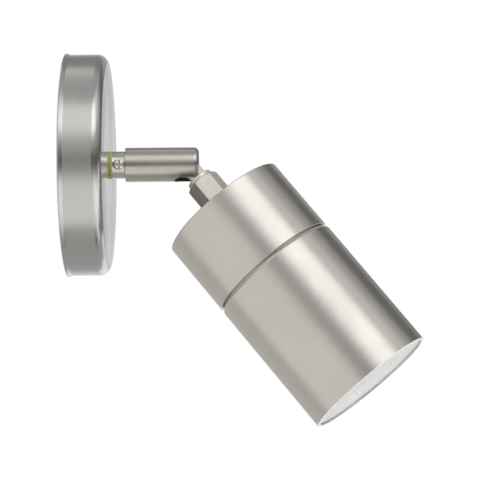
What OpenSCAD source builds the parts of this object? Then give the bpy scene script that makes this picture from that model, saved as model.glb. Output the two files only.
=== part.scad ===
// Adjustable outdoor wall spot light, in millimetres, +Z up.
// A round canopy stands on the wall, a short arm turns on the canopy's neck,
// and a two-part cylindrical head tilts on a forked knuckle at the arm's end.
// The wall is the plane y = 0, the light stands out along -Y, and the origin
// is the middle of the canopy's back.

/* [View] */
// Piece to draw

/* [Pose] */
// Angle that the arm is turned about its own axis
arm_turn = 15.03; // [-150:0.01:150]
// Angle that the head is tilted down from straight out
head_tilt = 51.35; // [0:0.01:90]

/* [Canopy] */
// Outer radius of the canopy
canopy_r = 50; // [40:0.5:70]
// Depth of the canopy from the wall to its face
canopy_depth = 19.3; // [17:0.1:40]
// Thickness of the spun canopy
canopy_wall = 1.2; // [0.8:0.1:2]
// Radius of the canopy's rounded front edge
canopy_corner = 4.4; // [2:0.1:8]
// How far the back lip flares out past the side
lip_flare = 0.6; // [0.2:0.1:1.5]
// Length of the flared lip along the side
lip_length = 2.2; // [1:0.1:4]
// Rounding at the lip's back corner
lip_round = 0.4; // [0.1:0.1:1]

/* [Wall fixing] */
// Thickness of the bracket strip
bracket_thick = 1.5; // [1:0.1:3]
// Width of the bracket strip
bracket_w = 22; // [16:1:30]
// Width of the folded tabs
tab_w = 16; // [10:1:20]
// Height of the folded tabs above the wall
tab_height = 10; // [9:0.5:13]
// Inner radius of the fold
fold_r = 1; // [0.5:0.1:2]
// Distance between the centres of the fixing slots
slot_spacing = 50; // [44:1:56]
// End to end length of a fixing slot
slot_length = 14; // [8:1:16]
// Width of a fixing slot
slot_w = 5; // [4:0.5:6]
// Radius of the supply cable's hole
cable_hole_r = 7; // [5:0.5:8]
// Width of the foam gasket inside the canopy's rim
gasket_w = 5.3; // [3:0.1:8]
// Thickness of the foam gasket
gasket_thick = 2; // [1:0.1:4]
// Radius of the canopy's side screws
side_screw_r = 2; // [1.5:0.1:2.5]
// Height of the side screws above the wall
side_screw_height = 6; // [5:0.1:8]

/* [Neck] */
// Outer radius of the neck
neck_r = 6.15; // [5.6:0.05:7]
// Length of the neck's collar in front of its seal
neck_length = 5.83; // [5.6:0.01:12]
// Wall of the neck around the turning pin
neck_wall = 1.55; // [1.3:0.05:2]
// Radius of the neck's threaded tail
tail_r = 4.95; // [4.5:0.05:5.5]
// Length of the threaded tail behind the canopy's face
tail_length = 8.6; // [6:0.1:11]
// Thickness of the seal under the neck
neck_seal_thick = 1.2; // [0.8:0.1:2]
// Width of the milled pocket on the neck's side
pocket_w = 4.5; // [4:0.1:5]
// Length of the milled pocket
pocket_length = 5.1; // [4.6:0.1:5.2]
// Depth of the milled pocket
pocket_depth = 0.85; // [0.4:0.05:1]
// Radius of the neck screw's head
neck_head_r = 2.1; // [1.6:0.1:2.2]
// Height of the neck screw's head
neck_head_height = 1.1; // [0.8:0.1:1.5]

/* [Arm] */
// Outer radius of the arm
arm_r = 7.78; // [6.6:0.01:10]
// Length of the arm
arm_length = 33.14; // [28:0.01:90]
// Rounding at the arm's free end
arm_round = 2; // [0.5:0.1:3]
// Distance of the pivot from the arm's free end
pivot_inset = 5.15; // [4.8:0.01:7]
// Radius of the pivot screw
pivot_r = 2; // [1.5:0.1:2.2]
// Radius of the cable's way through the arm
wire_way_r = 3; // [2:0.1:3.2]

/* [Knuckle] */
// Thickness of the knuckle's tongue
tongue_thick = 6.2; // [5.8:0.1:6.8]
// Width of the knuckle's tongue
tongue_w = 7.2; // [6.4:0.1:7.6]
// Radius of the knuckle's collar
collar_r = 6; // [5:0.1:6.2]
// Length of the knuckle's collar
collar_length = 1.6; // [1:0.1:3]
// Radius of the knuckle's stud
stud_r = 4; // [3.5:0.1:4.5]
// Width across the flats of the hexagonal sleeve
hex_across = 13.7; // [12.5:0.1:15]
// Length of the hexagonal sleeve
hex_length = 16.56; // [10:0.01:30]

/* [Head] */
// Length of the rear housing's outer wall
housing_length = 35.74; // [35:0.01:60]
// Thickness of the rear housing's side
housing_wall = 1.8; // [1.2:0.1:2.2]
// Thickness of the rear housing's back
housing_back = 2; // [1.5:0.1:4]
// Length of the screwed neck inside the barrel
spigot_length = 8.8; // [7:0.1:14]
// Wall of the screwed neck
spigot_wall = 2.4; // [2:0.1:3]
// Length of the front barrel
barrel_length = 66.93; // [63:0.01:100]
// Thickness of the front barrel
barrel_wall = 1.5; // [1:0.1:2.5]
// Height of the bevel on the barrel's rear rim
bevel_length = 1.6; // [0.5:0.1:3]
// Gap seen between the two parts of the head
seam_gap = 0.5; // [0.2:0.1:1]
// How much the rear housing is smaller in radius than the barrel
seam_step = 0.15; // [0.05:0.05:0.5]
// Thickness of the front glass
glass_thick = 4; // [3:0.1:6]
// How far the glass lies behind the front rim
glass_recess = 0.6; // [0.2:0.1:2]
// Width of the ledge that carries the glass
ledge_w = 1.75; // [1:0.05:2.4]

/* [Lamp] */
// Radius of the reflector lamp
lamp_r = 25; // [24:0.1:26]
// Gap between the reflector lamp and the front glass
lamp_to_glass = 9.92; // [4:0.01:40]
// Distance between the lamp's pins
pin_spacing = 10; // [9.5:0.1:10.5]
// Radius of a pin's head
pin_head_r = 2.5; // [2.2:0.1:2.6]
// Angle that the lamp turns to come free
lamp_twist = 30; // [20:1:40]
// Height of the lamp holder
holder_height = 16; // [14:0.5:20]
// Height of the holder's bracket
holder_bracket_height = 15.5; // [13:0.1:18]

/* [Hidden] */
$fn = 96;
// How far a cut runs past the face that it opens
overrun = 1;
// Radial clearance of a pin or neck that turns or slides in its bore
running_fit = 0.05;
// Radial clearance of a hole that a screw passes freely
free_fit = 0.1;

// Canopy
canopy_inner_r = canopy_r - canopy_wall;
canopy_inner_z = canopy_depth - canopy_wall;
gasket_inner_r = canopy_inner_r - gasket_w;

// Wall fixing
tab_gap = 1.5;
tab_outer = gasket_inner_r - tab_gap;
fold_outer_r = fold_r + bracket_thick;
tab_corner = 2;
side_screw_inset = 0.1;
side_screw_grip = 1;
side_socket_r = 1.15;
side_socket_depth = 2;
ear_reach = 19;
ear_w = 26;
ear_corner = 3;
earth_hole_offset = 12.5;
earth_r = 2;
earth_head_r = 3.6;
earth_head_height = 2.4;
earth_washer_r = 3.9;
earth_washer_thick = 0.8;
earth_tip_gap = 0.3;
head_slot_w = 0.8;
head_slot_depth = 1;

// Terminal block
poles = 3;
pole_pitch = 8;
block_w = 15;
block_edge = 1;
block_base = 3;
pole_r = 3.6;
pole_axis = 6;
tower_r = 2.5;
tower_height = 11;
tower_offset = 3.7;
terminal_wire_r = 1.6;
terminal_screw_r = 1.3;
terminal_screw_sink = 0.7;
terminal_slot_w = 0.5;
terminal_slot_depth = 0.6;
fixing_r = 1.2;
fixing_head_r = 2;
fixing_head_height = 1.4;
fixing_well_r = 2.2;
fixing_seat = 3.6;
fixing_tip_gap = 0.4;
block_offset = bracket_w / 2 + ear_reach / 2;

// Neck
seal_rim = 0.1;
neck_start = canopy_depth + neck_seal_thick;
neck_end = neck_start + neck_length;
neck_bore_r = neck_r - neck_wall;
neck_chamfer = 0.3;
pin_room = 0.3;
pin_length = 5.3;
pin_r = neck_bore_r - running_fit;
pocket_end_wall = 0.3;
pocket_centre = neck_end - pocket_end_wall - pocket_w / 2;
pocket_floor = neck_r - pocket_depth;
neck_shank_r = 1.2;
dog_r = 0.8;
groove_depth = 0.8;
groove_side_gap = 0.15;
dog_gap = 0.1;
groove_r = pin_r - groove_depth;
stop_w = 2;
neck_slot_w = 0.6;
neck_slot_depth = 0.55;
tail_start = canopy_depth - tail_length;
lock_washer_r = 9;
lock_washer_root_r = 7.4;
lock_washer_thick = 0.8;
lock_teeth = 12;
lock_gap_w = 1.6;
neck_nut_across = 14;
neck_nut_height = 3;

// Arm
swivel_gap = 0.1;
arm_chamfer = 0.15;
arm_start = neck_end + swivel_gap;
arm_end = arm_start + arm_length;
pivot_z = arm_end - pivot_inset;
tongue_side_gap = 0.15;
fork_w = tongue_thick + 2 * tongue_side_gap;
fork_roof_gap = 0.4;
fork_roof = tongue_w / 2 + fork_roof_gap;
fork_back_gap = 2.32;
fork_back = tongue_w / 2 + fork_back_gap;
seat_wall = 1.35;
seat_floor = fork_w / 2 + seat_wall;
pivot_washer_thick = 0.7;
pivot_head_r = 3.4;
pivot_head_height = 2;
pivot_socket_r = 1.45;
pivot_socket_depth = 1.2;
seat_r = pivot_head_r + 3 * free_fit;
washer_split_w = 0.9;
pivot_thread_length = 2.95;
pivot_tip_gap = 0.2;

// Knuckle
throat_gap = 0.35;
cheek_reach = norm([pivot_inset - arm_round, arm_r - arm_round]) + arm_round;
collar_start = sqrt(cheek_reach * cheek_reach - fork_w * fork_w / 4) + throat_gap;
tongue_chamfer = 0.5;
collar_chamfer = 0.3;
stud_wire_r = 2;
stud_wire_start = 3.6;
window_w = 3;
window_length = 3.6;
window_sill = 0.4;
hex_start = collar_start + collar_length;
hex_nose_r = 6.3;
hex_nose_length = 1.2;
rear_start = hex_start + hex_length;

// Stud fastening inside the rear housing
stud_seal_thick = 1;
stud_seal_r = 8;
strap_thick = 1;
stud_washer_r = 8;
stud_washer_thick = 0.8;
stud_nut_across = 13;
stud_nut_height = 4;
stud_overhang = 1;
seal_start = rear_start + housing_back;
strap_start = seal_start + stud_seal_thick;
stud_washer_start = strap_start + strap_thick;
stud_nut_start = stud_washer_start + stud_washer_thick;
stud_end = stud_nut_start + stud_nut_height + stud_overhang;

// Head, built up outwards from the lamp
lamp_room = 1;
thread_depth = 0.3;
spigot_inner_r = lamp_r + lamp_room;
spigot_r = spigot_inner_r + spigot_wall;
barrel_thread_r = spigot_r + running_fit;
barrel_bore_r = barrel_thread_r + thread_depth;
barrel_r = barrel_bore_r + barrel_wall;
housing_r = barrel_r - seam_step;
housing_chamfer = 0.4;
housing_end = rear_start + housing_length;
ring_section_r = 0.7;
ring_groove_w = 1.8;
ring_groove_offset = 0.8;
barrel_start = housing_end + seam_gap;
barrel_end = barrel_start + barrel_length;
bevel_depth = 1.2;
rim_chamfer = 0.25;
thread_run = 1;
ledge_thick = 2;
lens_gasket_thick = 1.5;
glass_edge_gap = 0.15;
glass_chamfer = 0.4;
glass_front = barrel_end - glass_recess;
glass_back = glass_front - glass_thick;
ledge_front = glass_back - lens_gasket_thick;
ledge_back = ledge_front - ledge_thick;

// Lamp holder
holder_start = strap_start + holder_bracket_height;
holder_end = holder_start + holder_height;
holder_screw_x = 11.6;
holder_half_length = 15.5;
holder_half_w = 6.5;
holder_round_r = 11.5;
holder_corner = 3;
holder_screw_r = 1.5;
holder_head_r = 2.7;
holder_head_height = 2;
holder_well_r = 2.9;
holder_well_depth = 2.6;
holder_screw_overhang = 1.5;
strap_half_w = 15;
strap_lip = 6.8;
strap_fold_r = 1;
strap_depth = 12;
cover_thick = 3.8;
cavity_depth = 3.8;
pin_gap = 0.3;
pin_r_neck = 1.6;
pin_neck_length = 4.3;
pin_head_length = 3;
pin_orbit = pin_spacing / 2;

// Lamp
lamp_gap = 0.15;
lamp_start = holder_end + lamp_gap;
lamp_length = glass_back - lamp_to_glass - lamp_start;
lamp_foot_r = 9.5;
lamp_waist_r = 12;
lamp_shoulder_r = 13.6;
lamp_base_length = 20;
lamp_foot_bevel = 1;
lamp_shoulder = 2.4;
lamp_glass_thick = 1.2;
lamp_rim_length = 3;
lamp_cover_thick = 1.6;
lamp_cover_sink = 0.8;
lamp_dimple_r = 4;
bowl_steps = 14;
bowl_curve_share = 0.62;

// Stands the wall frame up: its z runs out from the wall and its y up.
module from_wall() {
    rotate([90, 0, 0])
        children();
}

// Turns the pieces that go round with the arm.
module on_arm() {
    rotate([0, arm_turn, 0])
        from_wall()
            children();
}

// Puts the head's own frame, with z along the head from the pivot, in place.
module on_head() {
    rotate([0, arm_turn, 0])
        translate([0, -pivot_z, 0])
            rotate([head_tilt, 0, 0])
                from_wall()
                    children();
}

// A ring or disc between two radii, standing on the plane z = start.
module ring(outer_r, inner_r, start, height) {
    translate([0, 0, start])
        difference() {
            cylinder(r = outer_r, h = height);
            translate([0, 0, -overrun])
                cylinder(r = inner_r, h = height + 2 * overrun);
        }
}

// A flat shape with rounded corners, centred on the origin.
module rounded_plate(width, height, corner) {
    square([width - 2 * corner, height], center = true);
    square([width, height - 2 * corner], center = true);
    for (side_x = [-1, 1], side_y = [-1, 1])
        translate([side_x * (width / 2 - corner), side_y * (height / 2 - corner)])
            circle(r = corner, $fn = 48);
}

// A slot outline with round ends, its length along y.
module slot_outline(width, length) {
    square([width, length - width], center = true);
    for (side = [-1, 1])
        translate([0, side * (length - width) / 2])
            circle(d = width, $fn = 48);
}

// A hexagonal block with its outer corners taken off at the front, the back or both.
module hex_block(across, height, nose_r, nose_length, both_ends) {
    corner_r = across / sqrt(3);
    cone_length = nose_length * (corner_r + overrun - nose_r) / (corner_r - nose_r);
    intersection() {
        rotate([0, 0, 30])
            cylinder(r = corner_r, h = height, $fn = 6);
        rotate_extrude()
            polygon([
                [0, 0],
                [nose_r, 0],
                [corner_r + overrun, cone_length],
                [corner_r + overrun, height - (both_ends ? cone_length : 0)],
                [both_ends ? nose_r : corner_r + overrun, height],
                [0, height]
            ]);
    }
}

// A screw head with a straight slot, its seat on z = 0.
module slotted_head(head_r, height, cut_w, cut_depth) {
    difference() {
        cylinder(r = head_r, h = height, $fn = 48);
        translate([-cut_w / 2, -head_r - overrun, height - cut_depth])
            cube([cut_w, 2 * (head_r + overrun), cut_depth + overrun]);
    }
}

// Half section of the canopy's outside.
module canopy_outline() {
    square([canopy_r, canopy_depth - canopy_corner]);
    square([canopy_r - canopy_corner, canopy_depth]);
    translate([canopy_r - canopy_corner, canopy_depth - canopy_corner])
        circle(r = canopy_corner);
    polygon([
        [canopy_inner_r, 0],
        [canopy_r + lip_flare - lip_round, 0],
        [canopy_r + lip_flare, lip_round],
        [canopy_r + lip_flare, 2 * lip_round],
        [canopy_r, lip_length],
        [canopy_inner_r, lip_length]
    ]);
}

// Half section of the canopy's hollow.
module canopy_hollow() {
    inner_corner = canopy_corner - canopy_wall;
    translate([0, -overrun])
        square([canopy_inner_r, canopy_inner_z - inner_corner + overrun]);
    translate([0, -overrun])
        square([canopy_inner_r - inner_corner, canopy_inner_z + overrun]);
    translate([canopy_inner_r - inner_corner, canopy_inner_z - inner_corner])
        circle(r = inner_corner);
}

module canopy() {
    color("silver")
        from_wall()
            difference() {
                rotate_extrude($fn = 180)
                    difference() {
                        canopy_outline();
                        canopy_hollow();
                    }
                translate([0, 0, canopy_inner_z - overrun])
                    cylinder(r = tail_r + running_fit, h = canopy_wall + 2 * overrun);
                for (side = [-1, 1])
                    translate([0, 0, side_screw_height])
                        rotate([side * 90, 0, 0])
                            translate([0, 0, canopy_inner_r - overrun])
                                cylinder(r = side_screw_r + free_fit, h = canopy_wall + 2 * overrun);
            }
}

// Side view of the bracket's strip with a folded tab at each end.
module bracket_strip() {
    difference() {
        union() {
            translate([-tab_outer + fold_outer_r, 0])
                square([2 * (tab_outer - fold_outer_r), bracket_thick]);
            for (side = [-1, 1])
                translate([side * (tab_outer - fold_outer_r), fold_outer_r])
                    circle(r = fold_outer_r, $fn = 48);
            for (side = [-1, 1])
                translate([side * (tab_outer - bracket_thick / 2) - bracket_thick / 2, fold_outer_r])
                    square([bracket_thick, tab_height - fold_outer_r]);
        }
        for (side = [-1, 1])
            translate([side * (tab_outer - fold_outer_r), fold_outer_r])
                circle(r = fold_r, $fn = 48);
        translate([-tab_outer + fold_outer_r, bracket_thick])
            square([2 * (tab_outer - fold_outer_r), tab_height + overrun]);
        translate([-tab_outer + bracket_thick, fold_outer_r])
            square([2 * (tab_outer - bracket_thick), tab_height + overrun]);
    }
}

module wall_bracket() {
    color("lightsteelblue")
        from_wall()
            difference() {
                union() {
                    intersection() {
                        translate([-bracket_w / 2, 0, 0])
                            rotate([90, 0, 90])
                                linear_extrude(bracket_w)
                                    bracket_strip();
                        union() {
                            linear_extrude(tab_height)
                                rounded_plate(tab_w, 2 * tab_outer, tab_corner / 2);
                            translate([0, 0, -overrun])
                                linear_extrude(bracket_thick + overrun)
                                    rounded_plate(bracket_w, 2 * (tab_outer - fold_outer_r), tab_corner);
                        }
                    }
                    linear_extrude(bracket_thick)
                        translate([ear_reach / 2, 0])
                            rounded_plate(bracket_w + ear_reach, ear_w, ear_corner);
                }
                translate([0, 0, -overrun])
                    cylinder(r = cable_hole_r, h = bracket_thick + 2 * overrun);
                for (side = [-1, 1])
                    translate([0, side * slot_spacing / 2, -overrun])
                        linear_extrude(bracket_thick + 2 * overrun)
                            slot_outline(slot_w, slot_length);
                translate([0, earth_hole_offset, -overrun])
                    cylinder(r = earth_r, h = bracket_thick + 2 * overrun);
                for (side = [-1, 1])
                    translate([block_offset, side * pole_pitch / 2, -overrun])
                        cylinder(r = fixing_r, h = bracket_thick + 2 * overrun);
                for (side = [-1, 1])
                    translate([0, 0, side_screw_height])
                        rotate([side * 90, 0, 0])
                            translate([0, 0, tab_outer - bracket_thick - overrun])
                                cylinder(r = side_screw_r, h = bracket_thick + 2 * overrun);
            }
}

module wall_gasket() {
    color("dimgray")
        from_wall()
            ring(canopy_inner_r, gasket_inner_r, 0, gasket_thick);
}

module canopy_screws() {
    screw_start = tab_outer - bracket_thick - side_screw_grip;
    screw_end = canopy_r - side_screw_inset;
    color("slategray")
        from_wall()
            for (side = [-1, 1])
                translate([0, 0, side_screw_height])
                    rotate([side * 90, 0, 0])
                        difference() {
                            translate([0, 0, screw_start])
                                cylinder(r = side_screw_r, h = screw_end - screw_start);
                            translate([0, 0, screw_end - side_socket_depth])
                                cylinder(r = side_socket_r, h = side_socket_depth + overrun, $fn = 6);
                        }
}

module neck_seal() {
    color("yellowgreen")
        from_wall()
            ring(neck_r + seal_rim, tail_r, canopy_depth, neck_seal_thick);
}

module neck_stem() {
    color("silver")
        from_wall()
            difference() {
                rotate_extrude()
                    polygon([
                        [wire_way_r, tail_start],
                        [tail_r - neck_chamfer, tail_start],
                        [tail_r, tail_start + neck_chamfer],
                        [tail_r, neck_start],
                        [neck_r, neck_start],
                        [neck_r, neck_end - neck_chamfer],
                        [neck_r - neck_chamfer, neck_end],
                        [neck_bore_r, neck_end],
                        [neck_bore_r, arm_start - pin_length - pin_room],
                        [wire_way_r, arm_start - pin_length - pin_room]
                    ]);
                translate([-pocket_floor, 0, neck_end - pocket_end_wall - pocket_length / 2])
                    rotate([90, 0, -90])
                        linear_extrude(neck_r)
                            slot_outline(pocket_w, pocket_length);
                translate([0, 0, pocket_centre])
                    rotate([0, -90, 0])
                        cylinder(r = neck_shank_r, h = neck_r + overrun);
            }
}

module neck_screw() {
    shank_end = neck_bore_r + dog_gap;
    dog_end = groove_r + dog_gap;
    color("gainsboro")
        from_wall()
            translate([0, 0, pocket_centre])
                rotate([0, -90, 0]) {
                    translate([0, 0, pocket_floor])
                        slotted_head(neck_head_r, neck_head_height, neck_slot_w, neck_slot_depth);
                    translate([0, 0, shank_end])
                        cylinder(r = neck_shank_r, h = pocket_floor - shank_end, $fn = 48);
                    translate([0, 0, dog_end])
                        cylinder(r = dog_r, h = shank_end - dog_end, $fn = 48);
                }
}

module neck_washer() {
    washer_start = canopy_inner_z - lock_washer_thick;
    color("darkgray")
        from_wall()
            difference() {
                ring(lock_washer_r, tail_r, washer_start, lock_washer_thick);
                for (tooth = [0 : lock_teeth - 1])
                    rotate([0, 0, tooth * 360 / lock_teeth])
                        translate([lock_washer_root_r, -lock_gap_w / 2, washer_start - overrun])
                            cube([lock_washer_r, lock_gap_w, lock_washer_thick + 2 * overrun]);
            }
}

// A nut whose threaded hole is the size of the thread on it.
module nut(across, height, thread_r) {
    difference() {
        hex_block(across, height, across / 2, height / 6, true);
        translate([0, 0, -overrun])
            cylinder(r = thread_r, h = height + 2 * overrun);
    }
}

module neck_nut() {
    color("darkgray")
        from_wall()
            translate([0, 0, canopy_inner_z - lock_washer_thick - neck_nut_height])
                nut(neck_nut_across, neck_nut_height, tail_r);
}

// Places a child at each pole of the terminal block.
module at_poles() {
    for (pole = [0 : poles - 1])
        translate([block_offset, (pole - (poles - 1) / 2) * pole_pitch, bracket_thick])
            children();
}

module terminal_block() {
    block_length = poles * pole_pitch;
    color("ivory")
        from_wall()
            difference() {
                union() {
                    translate([block_offset, 0, bracket_thick])
                        linear_extrude(block_base)
                            rounded_plate(block_w, block_length, block_edge);
                    at_poles() {
                        translate([-block_w / 2, 0, 0])
                            rotate([90, 0, 90])
                                linear_extrude(block_w) {
                                    translate([-pole_r, block_base / 2])
                                        square([2 * pole_r, pole_axis - block_base / 2]);
                                    translate([0, pole_axis])
                                        circle(r = pole_r, $fn = 48);
                                }
                        for (side = [-1, 1])
                            translate([side * tower_offset, 0, pole_axis])
                                cylinder(r = tower_r, h = tower_height - pole_axis, $fn = 48);
                    }
                }
                at_poles() {
                    translate([-block_w / 2 - overrun, 0, pole_axis])
                        rotate([0, 90, 0])
                            cylinder(r = terminal_wire_r, h = block_w + 2 * overrun, $fn = 48);
                    for (side = [-1, 1])
                        translate([side * tower_offset, 0, pole_axis])
                            cylinder(r = terminal_screw_r, h = tower_height, $fn = 48);
                }
                for (side = [-1, 1])
                    translate([block_offset, side * pole_pitch / 2, bracket_thick]) {
                        translate([0, 0, fixing_seat])
                            cylinder(r = fixing_well_r, h = tower_height, $fn = 48);
                        translate([0, 0, -overrun])
                            cylinder(r = fixing_r, h = tower_height, $fn = 48);
                    }
            }
}

module terminal_screws() {
    screw_start = pole_axis + terminal_wire_r / 2;
    screw_height = tower_height - terminal_screw_sink - screw_start;
    color("goldenrod")
        from_wall()
            at_poles()
                for (side = [-1, 1])
                    translate([side * tower_offset, 0, screw_start])
                        slotted_head(terminal_screw_r, screw_height, terminal_slot_w, terminal_slot_depth);
}

module terminal_fixings() {
    shank_start = fixing_tip_gap;
    shank_end = bracket_thick + fixing_seat;
    color("slategray")
        from_wall()
            for (side = [-1, 1])
                translate([block_offset, side * pole_pitch / 2, 0]) {
                    translate([0, 0, shank_end])
                        slotted_head(fixing_head_r, fixing_head_height, terminal_slot_w, terminal_slot_depth);
                    translate([0, 0, shank_start])
                        cylinder(r = fixing_r, h = shank_end - shank_start, $fn = 48);
                }
}

module earth_screw() {
    seat = bracket_thick + earth_washer_thick;
    color("gold")
        from_wall()
            translate([0, earth_hole_offset, 0]) {
                translate([0, 0, seat])
                    slotted_head(earth_head_r, earth_head_height, head_slot_w, head_slot_depth);
                translate([0, 0, earth_tip_gap])
                    cylinder(r = earth_r, h = seat - earth_tip_gap, $fn = 48);
            }
}

module earth_washer() {
    color("darkgray")
        from_wall()
            translate([0, earth_hole_offset, 0])
                ring(earth_washer_r, earth_r, bracket_thick, earth_washer_thick);
}

// Half section of the turned arm with its turning pin.
module arm_outline() {
    translate([0, arm_start - pin_length])
        square([pin_r, pin_length]);
    polygon([
        [0, arm_start],
        [arm_r - arm_chamfer, arm_start],
        [arm_r, arm_start + arm_chamfer],
        [arm_r, arm_end - arm_round],
        [0, arm_end - arm_round]
    ]);
    translate([0, arm_end - 2 * arm_round])
        square([arm_r - arm_round, 2 * arm_round]);
    translate([arm_r - arm_round, arm_end - arm_round])
        circle(r = arm_round, $fn = 48);
}

// The groove of the turning pin, with a stop left standing opposite the screw.
module groove_cut() {
    groove_half = dog_r + groove_side_gap;
    difference() {
        ring(pin_r + overrun, groove_r, pocket_centre - groove_half, 2 * groove_half);
        translate([0, -stop_w / 2, pocket_centre - groove_half - overrun])
            cube([pin_r + 2 * overrun, stop_w, 2 * (groove_half + overrun)]);
    }
}

module arm() {
    fork_start = pivot_z - fork_back;
    color("lightgray")
        on_arm()
            difference() {
                rotate_extrude()
                    arm_outline();
                groove_cut();
                translate([0, 0, arm_start - pin_length - overrun])
                    cylinder(r = wire_way_r, h = fork_start + fork_w / 2 - arm_start + pin_length + overrun);
                translate([0, fork_roof, 0])
                    rotate([90, 0, 0])
                        linear_extrude(fork_roof + arm_r + overrun) {
                            translate([0, fork_start + fork_w / 2])
                                circle(d = fork_w);
                            translate([-fork_w / 2, fork_start + fork_w / 2])
                                square([fork_w, arm_end + overrun - fork_start - fork_w / 2]);
                        }
                translate([0, 0, pivot_z])
                    rotate([0, 90, 0]) {
                        translate([0, 0, seat_floor])
                            cylinder(r = seat_r, h = arm_r + overrun);
                        cylinder(r = pivot_r + free_fit, h = arm_r);
                        translate([0, 0, -fork_w / 2 - pivot_thread_length])
                            cylinder(r = pivot_r, h = pivot_thread_length + fork_w / 2);
                    }
            }
}

module pivot_screw() {
    head_start = seat_floor + pivot_washer_thick;
    tip = -fork_w / 2 - pivot_thread_length + pivot_tip_gap;
    color("slategray")
        on_arm()
            translate([0, 0, pivot_z])
                rotate([0, 90, 0]) {
                    translate([0, 0, head_start])
                        difference() {
                            cylinder(r = pivot_head_r, h = pivot_head_height);
                            translate([0, 0, pivot_head_height - pivot_socket_depth])
                                cylinder(r = pivot_socket_r, h = pivot_socket_depth + overrun, $fn = 6);
                        }
                    translate([0, 0, tip])
                        cylinder(r = pivot_r, h = head_start - tip);
                }
}

module pivot_washer() {
    color("darkgray")
        on_arm()
            translate([0, 0, pivot_z])
                rotate([0, 90, 0])
                    difference() {
                        ring(pivot_head_r, pivot_r + free_fit, seat_floor, pivot_washer_thick);
                        translate([0, -washer_split_w / 2, seat_floor - overrun])
                            cube([pivot_head_r + overrun, washer_split_w, pivot_washer_thick + 2 * overrun]);
                    }
}

// The tongue's rounded end, with its two edges taken off, lying along x.
module tongue_end() {
    half = tongue_thick / 2;
    rotate([0, 90, 0])
        rotate_extrude()
            polygon([
                [0, -half],
                [tongue_w / 2 - tongue_chamfer, -half],
                [tongue_w / 2, -half + tongue_chamfer],
                [tongue_w / 2, half - tongue_chamfer],
                [tongue_w / 2 - tongue_chamfer, half],
                [0, half]
            ]);
}

// Section of the tongue, with its four edges taken off.
module tongue_section() {
    half_x = tongue_thick / 2;
    half_y = tongue_w / 2;
    polygon([
        [half_x - tongue_chamfer, -half_y],
        [half_x, -half_y + tongue_chamfer],
        [half_x, half_y - tongue_chamfer],
        [half_x - tongue_chamfer, half_y],
        [-half_x + tongue_chamfer, half_y],
        [-half_x, half_y - tongue_chamfer],
        [-half_x, -half_y + tongue_chamfer],
        [-half_x + tongue_chamfer, -half_y]
    ]);
}

module knuckle() {
    color("whitesmoke")
        on_head()
            difference() {
                union() {
                    tongue_end();
                    linear_extrude(collar_start + collar_length / 2)
                        tongue_section();
                    rotate_extrude()
                        polygon([
                            [0, collar_start],
                            [collar_r - collar_chamfer, collar_start],
                            [collar_r, collar_start + collar_chamfer],
                            [collar_r, hex_start],
                            [stud_r, hex_start],
                            [stud_r, stud_end],
                            [0, stud_end]
                        ]);
                }
                rotate([0, 90, 0])
                    cylinder(r = pivot_r + running_fit, h = tongue_thick + 2 * overrun, center = true);
                translate([0, 0, stud_wire_start])
                    cylinder(r = stud_wire_r, h = stud_end);
                translate([0, 0, stud_wire_start + window_sill + window_length / 2])
                    rotate([90, 0, 0])
                        linear_extrude(tongue_w)
                            slot_outline(window_w, window_length);
            }
}

module hex_sleeve() {
    color("silver")
        on_head()
            translate([0, 0, hex_start])
                difference() {
                    hex_block(hex_across, hex_length, hex_nose_r, hex_nose_length, false);
                    translate([0, 0, -overrun])
                        cylinder(r = stud_r, h = hex_length + 2 * overrun);
                }
}

module stud_seal() {
    color("tan")
        on_head()
            ring(stud_seal_r, stud_r, seal_start, stud_seal_thick);
}

module stud_washer() {
    color("darkgray")
        on_head()
            ring(stud_washer_r, stud_r, stud_washer_start, stud_washer_thick);
}

module stud_nut() {
    color("darkgray")
        on_head()
            translate([0, 0, stud_nut_start])
                nut(stud_nut_across, stud_nut_height, stud_r);
}

module rear_housing() {
    inner_r = housing_r - housing_wall;
    groove_start = housing_end + ring_groove_offset;
    groove_bottom = spigot_r - 2 * ring_section_r;
    color("lightgray")
        on_head()
            rotate_extrude($fn = 144)
                polygon([
                    [stud_r, rear_start],
                    [housing_r - housing_chamfer, rear_start],
                    [housing_r, rear_start + housing_chamfer],
                    [housing_r, housing_end - housing_chamfer],
                    [housing_r - housing_chamfer, housing_end],
                    [spigot_r, housing_end],
                    [spigot_r, groove_start],
                    [groove_bottom, groove_start],
                    [groove_bottom, groove_start + ring_groove_w],
                    [spigot_r, groove_start + ring_groove_w],
                    [spigot_r, housing_end + spigot_length - housing_chamfer],
                    [spigot_r - housing_chamfer, housing_end + spigot_length],
                    [spigot_inner_r, housing_end + spigot_length],
                    [spigot_inner_r, housing_end - housing_wall],
                    [inner_r, housing_end - housing_wall],
                    [inner_r, seal_start],
                    [stud_r, seal_start]
                ]);
}

module housing_o_ring() {
    ring_middle = housing_end + ring_groove_offset + ring_groove_w / 2;
    color("black")
        on_head()
            translate([0, 0, ring_middle])
                rotate_extrude($fn = 144)
                    translate([spigot_r - ring_section_r, 0])
                        circle(r = ring_section_r, $fn = 32);
}

// End view of the strap that carries the lamp holder.
module strap_outline() {
    outer_fold = strap_fold_r + strap_thick;
    inner_w = 2 * (strap_half_w - strap_thick);
    difference() {
        translate([0, holder_bracket_height / 2])
            rounded_plate(2 * strap_half_w, holder_bracket_height, outer_fold);
        translate([0, holder_bracket_height / 2])
            rounded_plate(inner_w, holder_bracket_height - 2 * strap_thick, strap_fold_r);
        translate([-strap_half_w + strap_lip, strap_thick + strap_fold_r])
            square([2 * (strap_half_w - strap_lip), holder_bracket_height]);
    }
}

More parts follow.
